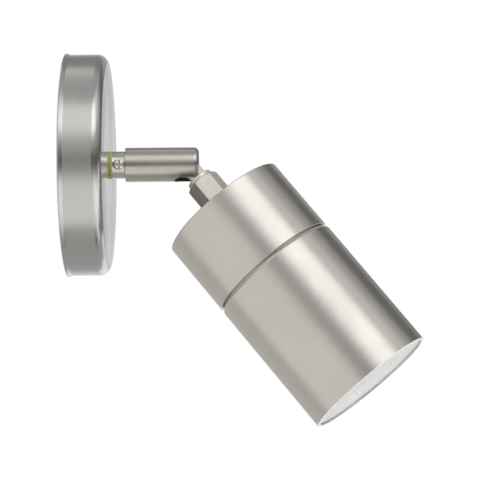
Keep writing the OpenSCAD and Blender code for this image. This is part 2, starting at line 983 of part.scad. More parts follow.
module holder_bracket() {
    color("lightsteelblue")
        on_head()
            translate([0, 0, strap_start])
                difference() {
                    translate([0, strap_depth / 2, 0])
                        rotate([90, 0, 0])
                            linear_extrude(strap_depth)
                                strap_outline();
                    translate([0, 0, -overrun])
                        cylinder(r = stud_r, h = strap_thick + 2 * overrun);
                    for (side = [-1, 1])
                        translate([side * holder_screw_x, 0, holder_bracket_height - strap_thick - overrun])
                            cylinder(r = holder_screw_r, h = strap_thick + 2 * overrun, $fn = 48);
                }
}

// The curved way of one pin through the holder's cover, open at its turned end.
module pin_way() {
    way_half = pin_r_neck + pin_gap;
    reach = pin_orbit + pin_head_r + pin_gap;
    intersection() {
        difference() {
            circle(r = pin_orbit + way_half);
            circle(r = pin_orbit - way_half);
        }
        polygon([
            [0, 0],
            [0, 2 * reach],
            [-2 * reach * sin(lamp_twist), 2 * reach * cos(lamp_twist)]
        ]);
    }
    translate([0, pin_orbit])
        circle(r = way_half, $fn = 48);
    rotate([0, 0, lamp_twist])
        translate([0, pin_orbit])
            circle(r = pin_head_r + pin_gap, $fn = 48);
}

module lamp_holder() {
    cavity_r = pin_orbit + pin_head_r + 2 * pin_gap;
    color("ivory")
        on_head()
            translate([0, 0, holder_start])
                difference() {
                    linear_extrude(holder_height) {
                        rounded_plate(2 * holder_half_length, 2 * holder_half_w, holder_corner);
                        circle(r = holder_round_r);
                    }
                    translate([0, 0, holder_height - cover_thick - cavity_depth])
                        cylinder(r = cavity_r, h = cavity_depth);
                    for (turn = [0, 180])
                        rotate([0, 0, turn])
                            translate([0, 0, holder_height - cover_thick - cavity_depth / 2])
                                linear_extrude(cover_thick + cavity_depth)
                                    pin_way();
                    for (side = [-1, 1])
                        translate([side * holder_screw_x, 0, 0]) {
                            translate([0, 0, -overrun])
                                cylinder(r = holder_screw_r + free_fit, h = holder_height, $fn = 48);
                            translate([0, 0, holder_height - holder_well_depth])
                                cylinder(r = holder_well_r, h = holder_well_depth + overrun, $fn = 48);
                        }
                }
}

module holder_screws() {
    seat = holder_end - holder_well_depth;
    tip = holder_start - strap_thick - holder_screw_overhang;
    color("slategray")
        on_head()
            for (side = [-1, 1])
                translate([side * holder_screw_x, 0, 0]) {
                    translate([0, 0, seat])
                        slotted_head(holder_head_r, holder_head_height, head_slot_w, head_slot_depth);
                    translate([0, 0, tip])
                        cylinder(r = holder_screw_r, h = seat - tip, $fn = 48);
                }
}

module front_barrel() {
    thread_end = barrel_start + spigot_length + thread_run;
    ledge_r = barrel_bore_r - ledge_w;
    color("silver")
        on_head()
            rotate_extrude($fn = 144)
                polygon([
                    [barrel_thread_r, barrel_start],
                    [barrel_r - bevel_depth, barrel_start],
                    [barrel_r, barrel_start + bevel_length],
                    [barrel_r, barrel_end - rim_chamfer],
                    [barrel_r - rim_chamfer, barrel_end],
                    [barrel_bore_r, barrel_end],
                    [barrel_bore_r, ledge_front],
                    [ledge_r, ledge_front],
                    [ledge_r, ledge_back],
                    [barrel_bore_r, ledge_back - ledge_w],
                    [barrel_bore_r, thread_end],
                    [barrel_thread_r, thread_end]
                ]);
}

module lens_gasket() {
    color("white")
        on_head()
            ring(barrel_bore_r, barrel_bore_r - ledge_w, ledge_front, lens_gasket_thick);
}

module lens_glass() {
    glass_r = barrel_bore_r - glass_edge_gap;
    color("lightcyan", 0.5)
        on_head()
            rotate_extrude($fn = 144)
                polygon([
                    [0, glass_back],
                    [glass_r - glass_chamfer, glass_back],
                    [glass_r, glass_back + glass_chamfer],
                    [glass_r, glass_front - glass_chamfer],
                    [glass_r - glass_chamfer, glass_front],
                    [0, glass_front]
                ]);
}

module lamp_base() {
    color("white")
        on_head()
            translate([0, 0, lamp_start])
                rotate_extrude()
                    polygon([
                        [0, 0],
                        [lamp_foot_r - lamp_foot_bevel, 0],
                        [lamp_foot_r, lamp_foot_bevel],
                        [lamp_waist_r, lamp_base_length - lamp_shoulder],
                        [lamp_shoulder_r, lamp_base_length],
                        [0, lamp_base_length]
                    ]);
}

// Radius of the reflector's outside at a share of its height.
function bowl_radius(share) =
    lamp_shoulder_r + (lamp_r - lamp_shoulder_r) * pow(share, bowl_curve_share);

// Points up the reflector's wall, drawn in by an inset.
function bowl_points(inset) = [
    for (step = [0 : bowl_steps])
        let (share = step / bowl_steps)
            [
                bowl_radius(share) - inset,
                lamp_base_length + share * (lamp_length - lamp_rim_length - lamp_base_length)
            ]
];

// Reverses a list of points.
function reversed(points) = [for (place = [len(points) - 1 : -1 : 0]) points[place]];

module lamp_reflector() {
    outer_wall = bowl_points(0);
    inner_wall = bowl_points(lamp_glass_thick);
    color("lavender")
        on_head()
            translate([0, 0, lamp_start])
                rotate_extrude()
                    polygon(concat(
                        outer_wall,
                        [[lamp_r, lamp_length], [lamp_r - lamp_glass_thick, lamp_length]],
                        reversed(inner_wall)
                    ));
}

module lamp_cover() {
    cover_r = lamp_r - lamp_glass_thick;
    cover_start = lamp_length - lamp_cover_sink - lamp_cover_thick;
    color("aliceblue")
        on_head()
            translate([0, 0, lamp_start])
                rotate_extrude()
                    polygon([
                        [0, cover_start],
                        [cover_r, cover_start],
                        [cover_r, cover_start + lamp_cover_thick],
                        [lamp_dimple_r, cover_start + lamp_cover_thick],
                        [lamp_dimple_r, cover_start + lamp_cover_thick / 2],
                        [0, cover_start + lamp_cover_thick / 2]
                    ]);
}

module lamp_pins() {
    color("silver")
        on_head()
            translate([0, 0, lamp_start])
                for (side = [-1, 1])
                    translate([0, side * pin_orbit, 0]) {
                        translate([0, 0, -pin_neck_length])
                            cylinder(r = pin_r_neck, h = pin_neck_length, $fn = 48);
                        translate([0, 0, -pin_neck_length - pin_head_length])
                            cylinder(r = pin_head_r, h = pin_head_length, $fn = 48);
                    }
}

wall_bracket();
wall_gasket();
canopy();
canopy_screws();
neck_seal();
neck_stem();
neck_screw();
neck_washer();
neck_nut();
terminal_block();
terminal_screws();
terminal_fixings();
earth_screw();
earth_washer();
arm();
pivot_screw();
pivot_washer();
knuckle();
hex_sleeve();
stud_seal();
stud_washer();
stud_nut();
rear_housing();
housing_o_ring();
holder_bracket();
lamp_holder();
holder_screws();
front_barrel();
lens_gasket();
lens_glass();
lamp_base();
lamp_reflector();
lamp_cover();
lamp_pins();
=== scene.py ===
"""Dresses the outdoor wall spot light: a canopy, an arm that turns and a head that tilts."""

import logging
import math
from dataclasses import dataclass, field
from enum import Enum
from typing import Callable, Sequence

import bmesh
import bpy
from mathutils import Matrix, Vector


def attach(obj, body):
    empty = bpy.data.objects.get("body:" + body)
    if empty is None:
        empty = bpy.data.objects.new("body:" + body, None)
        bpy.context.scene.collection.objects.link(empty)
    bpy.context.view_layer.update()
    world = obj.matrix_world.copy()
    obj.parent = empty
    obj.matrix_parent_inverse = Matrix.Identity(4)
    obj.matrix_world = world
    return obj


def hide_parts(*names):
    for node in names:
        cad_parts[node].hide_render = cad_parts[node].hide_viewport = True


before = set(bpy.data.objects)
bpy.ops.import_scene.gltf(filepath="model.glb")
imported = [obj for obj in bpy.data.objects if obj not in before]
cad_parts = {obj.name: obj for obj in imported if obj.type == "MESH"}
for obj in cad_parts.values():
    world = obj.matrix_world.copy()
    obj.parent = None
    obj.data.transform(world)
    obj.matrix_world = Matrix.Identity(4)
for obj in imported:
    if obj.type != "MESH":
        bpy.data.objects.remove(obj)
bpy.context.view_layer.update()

LOG = logging.getLogger("wall_light")
MM = 0.001
EDGE = 0.1
"""Usual rounding of a machined edge in millimetres."""

Corner = tuple[float, ...]
Colour = tuple[float, float, float]
DUST: Colour = (0.62, 0.6, 0.56)
WHITE: Colour = (1.0, 1.0, 1.0)


@dataclass(frozen=True)
class Stance:
    """How the light stands: the turn of its arm, the tilt of its head and where the pivot is."""

    arm_turn: float = 15.03
    head_tilt: float = 51.35
    pivot_height: float = 54.42

    def wall(self) -> Matrix:
        """Frame of what the wall holds, its z running out from the wall and its y up."""
        return Matrix.Rotation(math.radians(90), 4, "X")

    def arm(self) -> Matrix:
        """Frame of what turns with the arm."""
        return Matrix.Rotation(math.radians(self.arm_turn), 4, "Y") @ self.wall()

    def head(self) -> Matrix:
        """Finds where the head is.

        Returns:
            Frame of the head, its z running along the head from the pivot.
        """
        turn = Matrix.Rotation(math.radians(self.arm_turn), 4, "Y")
        pivot = Matrix.Translation((0, -self.pivot_height * MM, 0))
        tilt = Matrix.Rotation(math.radians(self.head_tilt), 4, "X")
        return turn @ pivot @ tilt @ self.wall()


class Body(Enum):
    """The bodies that move against each other."""

    WALL_PART = "wall_part"
    ARM = "arm"
    HEAD = "head"
    BARREL = "barrel"
    LAMP = "lamp"


class Grain(Enum):
    """Which way a metal is brushed: how fine its scratches are across the axis and round it."""

    ROUND = (9000.0, 60.0)
    PLAIN = (1500.0, 1500.0)


class Wiring:
    """Adds nodes to one node tree and joins them."""

    def __init__(self, tree: bpy.types.NodeTree) -> None:
        """Keeps the tree that the nodes go into.

        Args:
            tree: The node tree of a material, a group or the world.
        """
        self.tree = tree

    def add(self, kind: str, *sources: object, **settings: object) -> bpy.types.Node:
        """Adds a node.

        Args:
            kind: Blender's name of the node type.
            sources: Sockets or plain values for its first inputs, in their order.
            settings: Attributes to set on the node.

        Returns:
            The new node.
        """
        node = self.tree.nodes.new(kind)
        for key, value in settings.items():
            setattr(node, key, value)
        for socket, source in zip(node.inputs, sources):
            self.feed(socket, source)
        return node

    def feed(self, socket: bpy.types.NodeSocket, source: object) -> None:
        """Joins a socket to a source, or sets its value.

        Args:
            socket: The input socket.
            source: An output socket, or a plain value.
        """
        if isinstance(source, bpy.types.NodeSocket):
            self.tree.links.new(source, socket)
        else:
            socket.default_value = source

    def fill(self, node: bpy.types.Node, **sources: object) -> bpy.types.Node:
        """Feeds some inputs of a node.

        Args:
            node: The node.
            sources: Socket or plain value for each of the inputs, by its name.

        Returns:
            The node.
        """
        for name, source in sources.items():
            self.feed(node.inputs[name], source)
        return node

    def own_place(self) -> bpy.types.NodeSocket:
        """Where a point is in the piece's own frame."""
        return self.add("ShaderNodeTexCoord").outputs["Object"]

    def math(self, operation: str, *sources: object, clamp: bool = False) -> bpy.types.NodeSocket:
        """Adds a sum on numbers, whose result may be held between 0 and 1."""
        return self.add("ShaderNodeMath", *sources, operation=operation, use_clamp=clamp).outputs[0]

    def blend(self, share: object, first: object, second: object) -> bpy.types.NodeSocket:
        """Adds a mix of two colours.

        Args:
            share: How much of the second colour shows.
            first: The first colour.
            second: The second colour.

        Returns:
            The mixed colour's socket.
        """
        node = self.add("ShaderNodeMix", data_type="RGBA")
        for place, source in ((0, share), (6, first), (7, second)):
            self.feed(node.inputs[place], source)
        return node.outputs[2]

    def spread(
        self, value: object, low: object, high: object, first: float, last: float
    ) -> bpy.types.NodeSocket:
        """Adds a smooth change of a value, which gives first at low and last at high."""
        sources = (value, low, high, first, last)
        return self.add("ShaderNodeMapRange", *sources, interpolation_type="SMOOTHSTEP").outputs[0]

    def noise(self, place: object, scale: object, detail: float, roughness: float = 0.5) -> bpy.types.Node:
        """Adds a noise of a scale, with a number of finer layers and their strength."""
        node = self.add("ShaderNodeTexNoise")
        return self.fill(node, Vector=place, Scale=scale, Detail=detail, Roughness=roughness)

    def bump(self, shader: bpy.types.Node, height: object, strength: float, depth: float) -> None:
        """Lets a height bend a shader's normal, as a bump whose depth is in millimetres."""
        node = self.fill(self.add("ShaderNodeBump"), Strength=strength, Distance=depth * MM, Height=height)
        self.feed(shader.inputs["Normal"], node.outputs[0])


def rgba(colour: Colour) -> tuple[float, float, float, float]:
    """A colour with full cover."""
    return (*colour, 1.0)


def emptied(holder: bpy.types.Material | bpy.types.World) -> Wiring:
    """Takes the first nodes out of a material or a world.

    Args:
        holder: The material or the world.

    Returns:
        The wiring of its empty node tree.
    """
    holder.use_nodes = True
    holder.node_tree.nodes.clear()
    return Wiring(holder.node_tree)


class Effect:
    """A shader node group that several finishes use, built once."""

    title: str
    takes: dict[str, float]
    gives: tuple[str, ...]

    def __init__(self, tree: bpy.types.NodeTree) -> None:
        """Starts the group's wiring.

        Args:
            tree: The group's node tree.
        """
        self.wiring = Wiring(tree)
        self.given = self.wiring.add("NodeGroupInput").outputs
        self.result = self.wiring.add("NodeGroupOutput").inputs

    def wire(self) -> None:
        """Fills the group."""
        raise NotImplementedError

    @classmethod
    def place(cls, wiring: Wiring, **values: object) -> bpy.types.bpy_prop_collection:
        """Puts the group into a material.

        Args:
            wiring: The material's wiring.
            values: Value or socket of each input that isn't left at its usual value.

        Returns:
            The outputs of the group's node.
        """
        tree = bpy.data.node_groups.get(cls.title)
        if tree is None:
            tree = bpy.data.node_groups.new(cls.title, "ShaderNodeTree")
            for name, value in cls.takes.items():
                socket = tree.interface.new_socket(name, in_out="INPUT", socket_type="NodeSocketFloat")
                socket.default_value = value
            for name in cls.gives:
                tree.interface.new_socket(name, in_out="OUTPUT", socket_type="NodeSocketFloat")
            cls(tree).wire()
        return wiring.fill(wiring.add("ShaderNodeGroup", node_tree=tree), **values).outputs


class BrushedGrain(Effect):
    """Fine scratches that run round the piece's own axis, or fine grain where both scales are alike."""

    title = "brushed grain"
    takes = {"Across": 9000.0, "Round": 60.0}
    gives = ("Streaks", "Height")

    def wire(self) -> None:
        """Fills the group."""
        wiring = self.wiring
        x, y, z = wiring.add("ShaderNodeSeparateXYZ", wiring.own_place()).outputs
        squares = (wiring.math("MULTIPLY", side, side) for side in (x, y))
        radius = wiring.math("SQRT", wiring.math("ADD", *squares))
        rings = wiring.math("MULTIPLY", wiring.math("ADD", z, radius), self.given["Across"])
        sides = (wiring.math("MULTIPLY", side, self.given["Round"]) for side in (x, y))
        place = wiring.add("ShaderNodeCombineXYZ", *sides, rings).outputs[0]
        layers = (wiring.noise(place, scale, 3.0, 0.6).outputs["Fac"] for scale in (1.0, 0.23))
        both = wiring.math("MULTIPLY", wiring.math("ADD", *layers), 0.5)
        wiring.feed(self.result["Streaks"], wiring.spread(both, 0.36, 0.64, 0.0, 1.0))
        wiring.feed(self.result["Height"], both)


class Handling(Effect):
    """Broad soft patches left by hands, cleaning and uneven polish."""

    title = "handling marks"
    takes = {"Size": 45.0}
    gives = ("Patches",)

    def wire(self) -> None:
        """Fills the group."""
        wiring = self.wiring
        noise = wiring.noise(wiring.own_place(), self.given["Size"], 4.0, 0.55)
        noise.inputs["Distortion"].default_value = 0.4
        wiring.feed(self.result["Patches"], wiring.spread(noise.outputs["Fac"], 0.38, 0.66, 0.0, 1.0))


class EdgeWear(Effect):
    """Brightened edges, broken up by a fine noise."""

    title = "edge wear"
    takes = {"Start": 0.52, "Full": 0.6}
    gives = ("Wear",)

    def wire(self) -> None:
        """Fills the group."""
        wiring = self.wiring
        bend = wiring.add("ShaderNodeNewGeometry").outputs["Pointiness"]
        noise = wiring.noise(wiring.own_place(), 900.0, 2.0)
        edge = wiring.spread(bend, self.given["Start"], self.given["Full"], 0.0, 1.0)
        broken = wiring.spread(noise.outputs["Fac"], 0.35, 0.62, 0.35, 1.0)
        wiring.feed(self.result["Wear"], wiring.math("MULTIPLY", edge, broken, clamp=True))


class SettledDust(Effect):
    """A thin film of dust on what faces up."""

    title = "settled dust"
    takes = {"Amount": 0.1}
    gives = ("Dust",)

    def wire(self) -> None:
        """Fills the group."""
        wiring = self.wiring
        normal = wiring.add("ShaderNodeNewGeometry").outputs["Normal"]
        facing = wiring.add("ShaderNodeSeparateXYZ", normal)
        noise = wiring.noise(wiring.own_place(), 320.0, 6.0, 0.7)
        upward = wiring.spread(facing.outputs[2], 0.35, 1.0, 0.0, 1.0)
        specks = wiring.spread(noise.outputs["Fac"], 0.4, 0.75, 0.25, 1.0)
        amount = wiring.math("MULTIPLY", self.given["Amount"], specks)
        wiring.feed(self.result["Dust"], wiring.math("MULTIPLY", upward, amount, clamp=True))


class Pebble(Effect):
    """The fine lumpy skin of moulded, fired or foamed pieces."""

    title = "pebbled skin"
    takes = {"Scale": 2500.0, "Pores": 0.0}
    gives = ("Height", "Shade")

    def wire(self) -> None:
        """Fills the group."""
        wiring = self.wiring
        place = wiring.own_place()
        lumps = wiring.noise(place, self.given["Scale"], 3.0).outputs["Fac"]
        cells = wiring.fill(wiring.add("ShaderNodeTexVoronoi"), Vector=place, Scale=self.given["Scale"])
        holes = wiring.spread(cells.outputs["Distance"], 0.1, 0.55, 1.0, 0.0)
        sunk = wiring.math("MULTIPLY", holes, self.given["Pores"])
        wiring.feed(self.result["Height"], wiring.math("SUBTRACT", lumps, sunk))
        wiring.feed(self.result["Shade"], wiring.spread(lumps, 0.3, 0.7, 0.0, 1.0))


@dataclass(frozen=True)
class Finish:
    """What a surface is made of: its name, its material slot and its colour."""

    name: str
    slot: str
    colour: Colour

    def wire(self, wiring: Wiring, shader: bpy.types.Node) -> None:
        """Fills the material.

        Args:
            wiring: The material's wiring.
            shader: The material's shader node.
        """
        raise NotImplementedError

    def dusted(self, wiring: Wiring, shader: bpy.types.Node, base: object, dusty: object) -> None:
        """Colours the shader, with dust over its base colour."""
        wiring.feed(shader.inputs["Base Color"], wiring.blend(dusty, base, rgba(DUST)))

    def material(self) -> bpy.types.Material:
        """Finds the finish's material, or builds it at its first use.

        Returns:
            The material.
        """
        found = bpy.data.materials.get(self.name)
        if found is not None:
            return found
        material = bpy.data.materials.new(self.name)
        material.use_nodes = True
        self.wire(Wiring(material.node_tree), material.node_tree.nodes["Principled BSDF"])
        return material


@dataclass(frozen=True)
class Metal(Finish):
    """A metal's stain, polish and brushing."""

    stain: Colour
    roughness: float = 0.3
    streak: float = 0.06
    grain: Grain = Grain.PLAIN
    anisotropy: float = 0.0
    relief: float = 0.06
    wear: float = 0.5
    dust: float = 0.06
    matt: float = 0.0
    worn_gain: float = 1.16
    scratch_shade: float = 0.7
    stain_share: float = 0.35
    patch_roughness: float = 0.05
    dust_roughness: float = 0.5

    def wire(self, wiring: Wiring, shader: bpy.types.Node) -> None:
        """Fills the metal's material.

        Args:
            wiring: The material's wiring.
            shader: The material's shader node.
        """
        across, around = self.grain.value
        grain = BrushedGrain.place(wiring, Across=across, Round=around)
        patches = Handling.place(wiring)["Patches"]
        worn = EdgeWear.place(wiring)["Wear"]
        dusty = SettledDust.place(wiring, Amount=self.dust)["Dust"]
        bright = tuple(min(1.0, part * self.worn_gain) for part in self.colour)
        deep = tuple(part * (1.0 - self.scratch_shade * self.streak) for part in self.colour)
        base = wiring.blend(grain["Streaks"], rgba(deep), rgba(self.colour))
        base = wiring.blend(wiring.math("MULTIPLY", patches, self.stain_share), base, rgba(self.stain))
        base = wiring.blend(wiring.math("MULTIPLY", worn, self.wear), base, rgba(bright))
        self.dusted(wiring, shader, base, dusty)
        sheen: object = self.roughness - self.streak / 2
        sheen = wiring.math("MULTIPLY_ADD", grain["Streaks"], self.streak, sheen)
        sheen = wiring.math("MULTIPLY_ADD", patches, self.patch_roughness, sheen)
        sheen = wiring.math("MULTIPLY_ADD", dusty, self.dust_roughness, sheen)
        wiring.feed(shader.inputs["Roughness"], sheen)
        wiring.feed(shader.inputs["Metallic"], wiring.math("SUBTRACT", 1.0 - self.matt, dusty, clamp=True))
        if self.anisotropy:
            shader.inputs["Anisotropic"].default_value = self.anisotropy
            shader.inputs["Anisotropic Rotation"].default_value = 0.25
            tangent = wiring.add("ShaderNodeTangent", direction_type="RADIAL", axis="Z")
            wiring.feed(shader.inputs["Tangent"], tangent.outputs[0])
        wiring.bump(shader, grain["Height"], self.relief, 0.02)


@dataclass(frozen=True)
class Moulded(Finish):
    """A moulded, fired or foamed material that isn't metal."""

    shade: Colour
    roughness: float = 0.5
    lumps: float = 2500.0
    pores: float = 0.0
    relief: float = 0.15
    coat: float = 0.0
    dust: float = 0.08
    shade_share: float = 0.35
    patch_share: float = 0.4
    patch_size: float = 70.0
    patch_roughness: float = 0.1
    dust_roughness: float = 0.4

    def wire(self, wiring: Wiring, shader: bpy.types.Node) -> None:
        """Fills the moulded piece's material.

        Args:
            wiring: The material's wiring.
            shader: The material's shader node.
        """
        skin = Pebble.place(wiring, Scale=self.lumps, Pores=self.pores)
        patches = Handling.place(wiring, Size=self.patch_size)["Patches"]
        dusty = SettledDust.place(wiring, Amount=self.dust)["Dust"]
        mottled = wiring.math("MULTIPLY", patches, self.patch_share)
        mottled = wiring.math("MULTIPLY_ADD", skin["Shade"], self.shade_share, mottled)
        self.dusted(wiring, shader, wiring.blend(mottled, rgba(self.colour), rgba(self.shade)), dusty)
        sheen: object = self.roughness - self.patch_roughness / 2
        sheen = wiring.math("MULTIPLY_ADD", patches, self.patch_roughness, sheen)
        sheen = wiring.math("MULTIPLY_ADD", dusty, self.dust_roughness, sheen)
        wiring.feed(shader.inputs["Roughness"], sheen)
        shader.inputs["Coat Weight"].default_value = self.coat
        wiring.bump(shader, skin["Height"], self.relief, 0.05)


@dataclass(frozen=True)
class Glass(Finish):
    """Clear glass, with a faint film of handling on it."""

    colour: Colour = (0.97, 0.985, 0.98)
    roughness: float = 0.02
    film: float = 0.04
    film_size: float = 60.0
    film_shade: float = 0.985
    ripple: float = 90.0
    refraction: float = 1.47

    def wire(self, wiring: Wiring, shader: bpy.types.Node) -> None:
        """Fills the glass's material.

        Args:
            wiring: The material's wiring.
            shader: The material's shader node.
        """
        patches = Handling.place(wiring, Size=self.film_size)["Patches"]
        ripple = Pebble.place(wiring, Scale=self.ripple)
        tint = tuple(part * self.film_shade for part in self.colour)
        wiring.feed(shader.inputs["Base Color"], wiring.blend(patches, rgba(self.colour), rgba(tint)))
        sheen = wiring.math("MULTIPLY_ADD", patches, self.film, self.roughness)
        wiring.feed(shader.inputs["Roughness"], sheen)
        shader.inputs["Transmission Weight"].default_value = 1.0
        shader.inputs["IOR"].default_value = self.refraction
        wiring.bump(shader, ripple["Height"], 0.02, 0.01)


CANOPY_STEEL = Metal(
    "spun satin steel", "satin_steel", (0.6, 0.595, 0.575), (0.57, 0.56, 0.535), 0.24, 0.03,
    grain=Grain.ROUND, anisotropy=0.6, relief=0.025,
)
HEAD_STEEL = Metal(
    "brushed satin steel", "satin_steel", (0.62, 0.59, 0.55), (0.585, 0.555, 0.51), 0.22, 0.03,
    grain=Grain.ROUND, anisotropy=0.6, relief=0.025,
)
ARM_STEEL = Metal(
    "turned satin steel", "satin_steel", (0.575, 0.55, 0.5), (0.535, 0.51, 0.46), 0.24, 0.015,
    grain=Grain.ROUND, anisotropy=0.5, relief=0.008,
)
# The canopy's front face: its low roughness is the polish, its paler and cooler colour than the rest of the
# cup is a painted reflection.
POLISHED_FACE_PAINTED_REFLECTION = Metal(
    "polished face with painted reflection", "satin_steel", (0.86, 0.865, 0.86), (0.82, 0.825, 0.82), 0.15, 0.02,
    grain=Grain.ROUND, relief=0.006, wear=0.0,
)
CANOPY_BEND = Metal(
    "spun bend", "satin_steel", (0.6, 0.595, 0.58), (0.56, 0.555, 0.54), 0.19, 0.02,
    grain=Grain.ROUND, anisotropy=0.3, relief=0.012,
)
KNUCKLE_STEEL = Metal(
    "blasted steel", "satin_steel", (0.74, 0.7, 0.64), (0.7, 0.66, 0.6), 0.3, 0.05, matt=0.26
)
NECK_STEEL = Metal("machined steel", "satin_steel", (0.66, 0.64, 0.59), (0.62, 0.6, 0.55), 0.22, 0.04)
# The barrel's rear bevel, painted pale and partly matt as a painted highlight.
BEVEL_PAINTED_HIGHLIGHT = Metal(
    "barrel bevel painted highlight", "satin_steel", (0.82, 0.795, 0.76), (0.78, 0.755, 0.72), 0.24, 0.04, matt=0.08
)
# The barrel's front rim and the bore in front of the glass, painted near white and mostly matt as painted
# light.
RIM_PAINTED_LIGHT = Metal(
    "front rim painted light", "satin_steel", (0.97, 0.97, 0.95), (0.93, 0.93, 0.91), 0.35, 0.04, matt=0.6
)
# Steel inside the arm's fork slot: its roughness is the milled finish, its near-black colour is painted
# shade of the slot's hollow.
FORK_SLOT_PAINTED_SHADE = Metal("fork slot painted shade", "satin_steel", (0.17, 0.155, 0.13), (0.12, 0.11, 0.09), 0.45, 0.1)
SCREW_STEEL = Metal(
    "slotted screw steel", "bright_steel", (0.86, 0.85, 0.82), (0.8, 0.79, 0.76), 0.2, 0.04, matt=0.25
)
BRIGHT_STEEL = Metal("bright turned steel", "bright_steel", (0.72, 0.71, 0.68), (0.66, 0.65, 0.62), 0.16)
PLATED_STEEL = Metal("zinc plated steel", "plated_steel", (0.6, 0.61, 0.6), (0.52, 0.54, 0.55), 0.36, 0.1)
BRASS = Metal("brass", "brass", (0.78, 0.57, 0.27), (0.66, 0.46, 0.2), 0.27, 0.08)
LAMP_MIRROR = Metal(
    "lamp mirror", "lamp_mirror", (0.86, 0.87, 0.88), (0.8, 0.81, 0.83), 0.07, 0.02, relief=0.02
)
GREEN_SEAL = Moulded("green seal rubber", "green_seal", (0.42, 0.44, 0.13), (0.34, 0.37, 0.1), 0.5)
FOAM = Moulded("closed foam", "foam", (0.035, 0.035, 0.036), (0.06, 0.06, 0.06), 0.85, 1400.0, 0.8, 0.6)
BLACK_RUBBER = Moulded("black rubber", "black_rubber", (0.02, 0.02, 0.021), (0.03, 0.03, 0.03), 0.45)
SILICONE = Moulded("pale silicone", "silicone", (0.66, 0.65, 0.6), (0.6, 0.59, 0.54), 0.4, coat=0.1)
BLOCK_PLASTIC = Moulded("block plastic", "block_plastic", (0.72, 0.7, 0.62), (0.66, 0.63, 0.54), 0.42)
CERAMIC = Moulded(
    "fired ceramic", "holder_ceramic", (0.74, 0.71, 0.65), (0.67, 0.64, 0.57), 0.6, 3200.0, 0.25, 0.3
)
CLEAR_GLASS = Glass("clear glass", "clear_glass")
LAMP_GLASS = Glass("pressed lamp glass", "lamp_glass", (0.95, 0.97, 0.98), 0.05, 0.08)


def eased(corners: Sequence[Corner], closed: bool = False, steps: int = 5) -> list[Corner]:
    """Rounds the corners of an outline.

    Args:
        corners: Radius, height and rounding of each corner in millimetres; a sharp one has no rounding.
        closed: Whether the outline's last corner joins its first.
        steps: Parts of each rounding.

    Returns:
        The outline's points.
    """
    points: list[Corner] = []
    count = len(corners)
    for place, corner in enumerate(corners):
        rounding = corner[2] if len(corner) > 2 else 0.0
        if rounding <= 0 or (not closed and place in (0, count - 1)):
            points.append(corner[:2])
            continue
        here = Vector(corner[:2])
        back = (Vector(corners[place - 1][:2]) - here).normalized()
        ahead = (Vector(corners[(place + 1) % count][:2]) - here).normalized()
        half = back.angle(ahead) / 2
        middle = here + (back + ahead).normalized() * rounding / math.sin(half)
        first = here + back * rounding / math.tan(half) - middle
        last = here + ahead * rounding / math.tan(half) - middle
        sweep = first.angle_signed(last)
        for step in range(steps + 1):
            spoke = first.copy()
            spoke.rotate(Matrix.Rotation(-sweep * step / steps, 2))
            points.append(tuple(middle + spoke))
    return points


@dataclass(frozen=True)
class Thread:
    """A screw thread along a turned face."""

    radius: float
    start: float
    end: float
    pitch: float = 1.0
    depth: float = 0.45
    rows_in_pitch: int = 8

    def points(self) -> list[Corner]:
        """Lays rows along the threaded face.

        Returns:
            Radius and height of each row, and the depth of the thread there, which fades at both ends.
        """
        length = abs(self.end - self.start)
        count = max(self.rows_in_pitch, round(length / self.pitch * self.rows_in_pitch))
        rows: list[Corner] = []
        for step in range(count + 1):
            share = step / count
            fade = min(1.0, share * length / self.pitch, (1 - share) * length / self.pitch)
            rows.append((self.radius, self.start + (self.end - self.start) * share, self.depth * fade))
        return rows


def put(name: str, data: bpy.types.ID, place: Matrix) -> bpy.types.Object:
    """Puts an object into the scene.

    Args:
        name: The object's name.
        data: Its mesh, light or camera.
        place: Its frame.

    Returns:
        The new object.
    """
    thing = bpy.data.objects.new(name, data)
    bpy.context.scene.collection.objects.link(thing)
    thing.matrix_world = place
    return thing


def make_object(
    name: str, points: Sequence[Vector], faces: Sequence[Sequence[int]], place: Matrix
) -> bpy.types.Object:
    """Makes a mesh piece.

    Args:
        name: Name of the piece.
        points: Corners in the piece's own frame, in metres.
        faces: Corner numbers of each face.
        place: The piece's frame.

    Returns:
        The new piece.
    """
    mesh = bpy.data.meshes.new(name)
    mesh.from_pydata(points, [], faces)
    made = bmesh.new()
    made.from_mesh(mesh)
    bmesh.ops.recalc_face_normals(made, faces=made.faces)
    made.to_mesh(mesh)
    made.free()
    return put(name, mesh, place)


def turned(
    name: str,
    outline: Sequence[Corner],
    place: Matrix,
    closed: bool = False,
    steps: int = 144,
    pitch: float = 1.0,
) -> bpy.types.Object:
    """Turns a half section about its own z axis, with a thread where its points have a depth.

    Args:
        name: Name of the piece.
        outline: Radius, height and depth of thread of each point, in millimetres.
        place: The piece's frame.
        closed: Whether the outline's last point joins its first.
        steps: Parts of a full turn.
        pitch: Pitch of the thread in millimetres.

    Returns:
        The new piece.
    """
    points: list[Vector] = []
    rows: list[list[int]] = []
    for radius, height, *cut_depth in outline:
        if radius == 0:
            rows.append([len(points)])
            points.append(Vector((0, 0, height * MM)))
            continue
        row = []
        for step in range(steps):
            turn = step / steps
            wave = abs(((height / pitch - turn) % 1.0) * 2 - 1)
            reach = radius - (cut_depth[0] * min(1.0, 1.25 * wave) if cut_depth else 0.0)
            row.append(len(points))
            angle = 2 * math.pi * turn
            points.append(Vector((reach * math.cos(angle), reach * math.sin(angle), height)) * MM)
        rows.append(row)
    faces = []
    for lower, upper in list(zip(rows, rows[1:])) + ([(rows[-1], rows[0])] if closed else []):
        for step in range(steps):
            after = (step + 1) % steps
            if len(lower) == 1:
                faces.append((lower[0], upper[after], upper[step]))
            elif len(upper) == 1:
                faces.append((lower[step], lower[after], upper[0]))
            else:
                faces.append((lower[step], lower[after], upper[after], upper[step]))
    return make_object(name, points, faces, place)


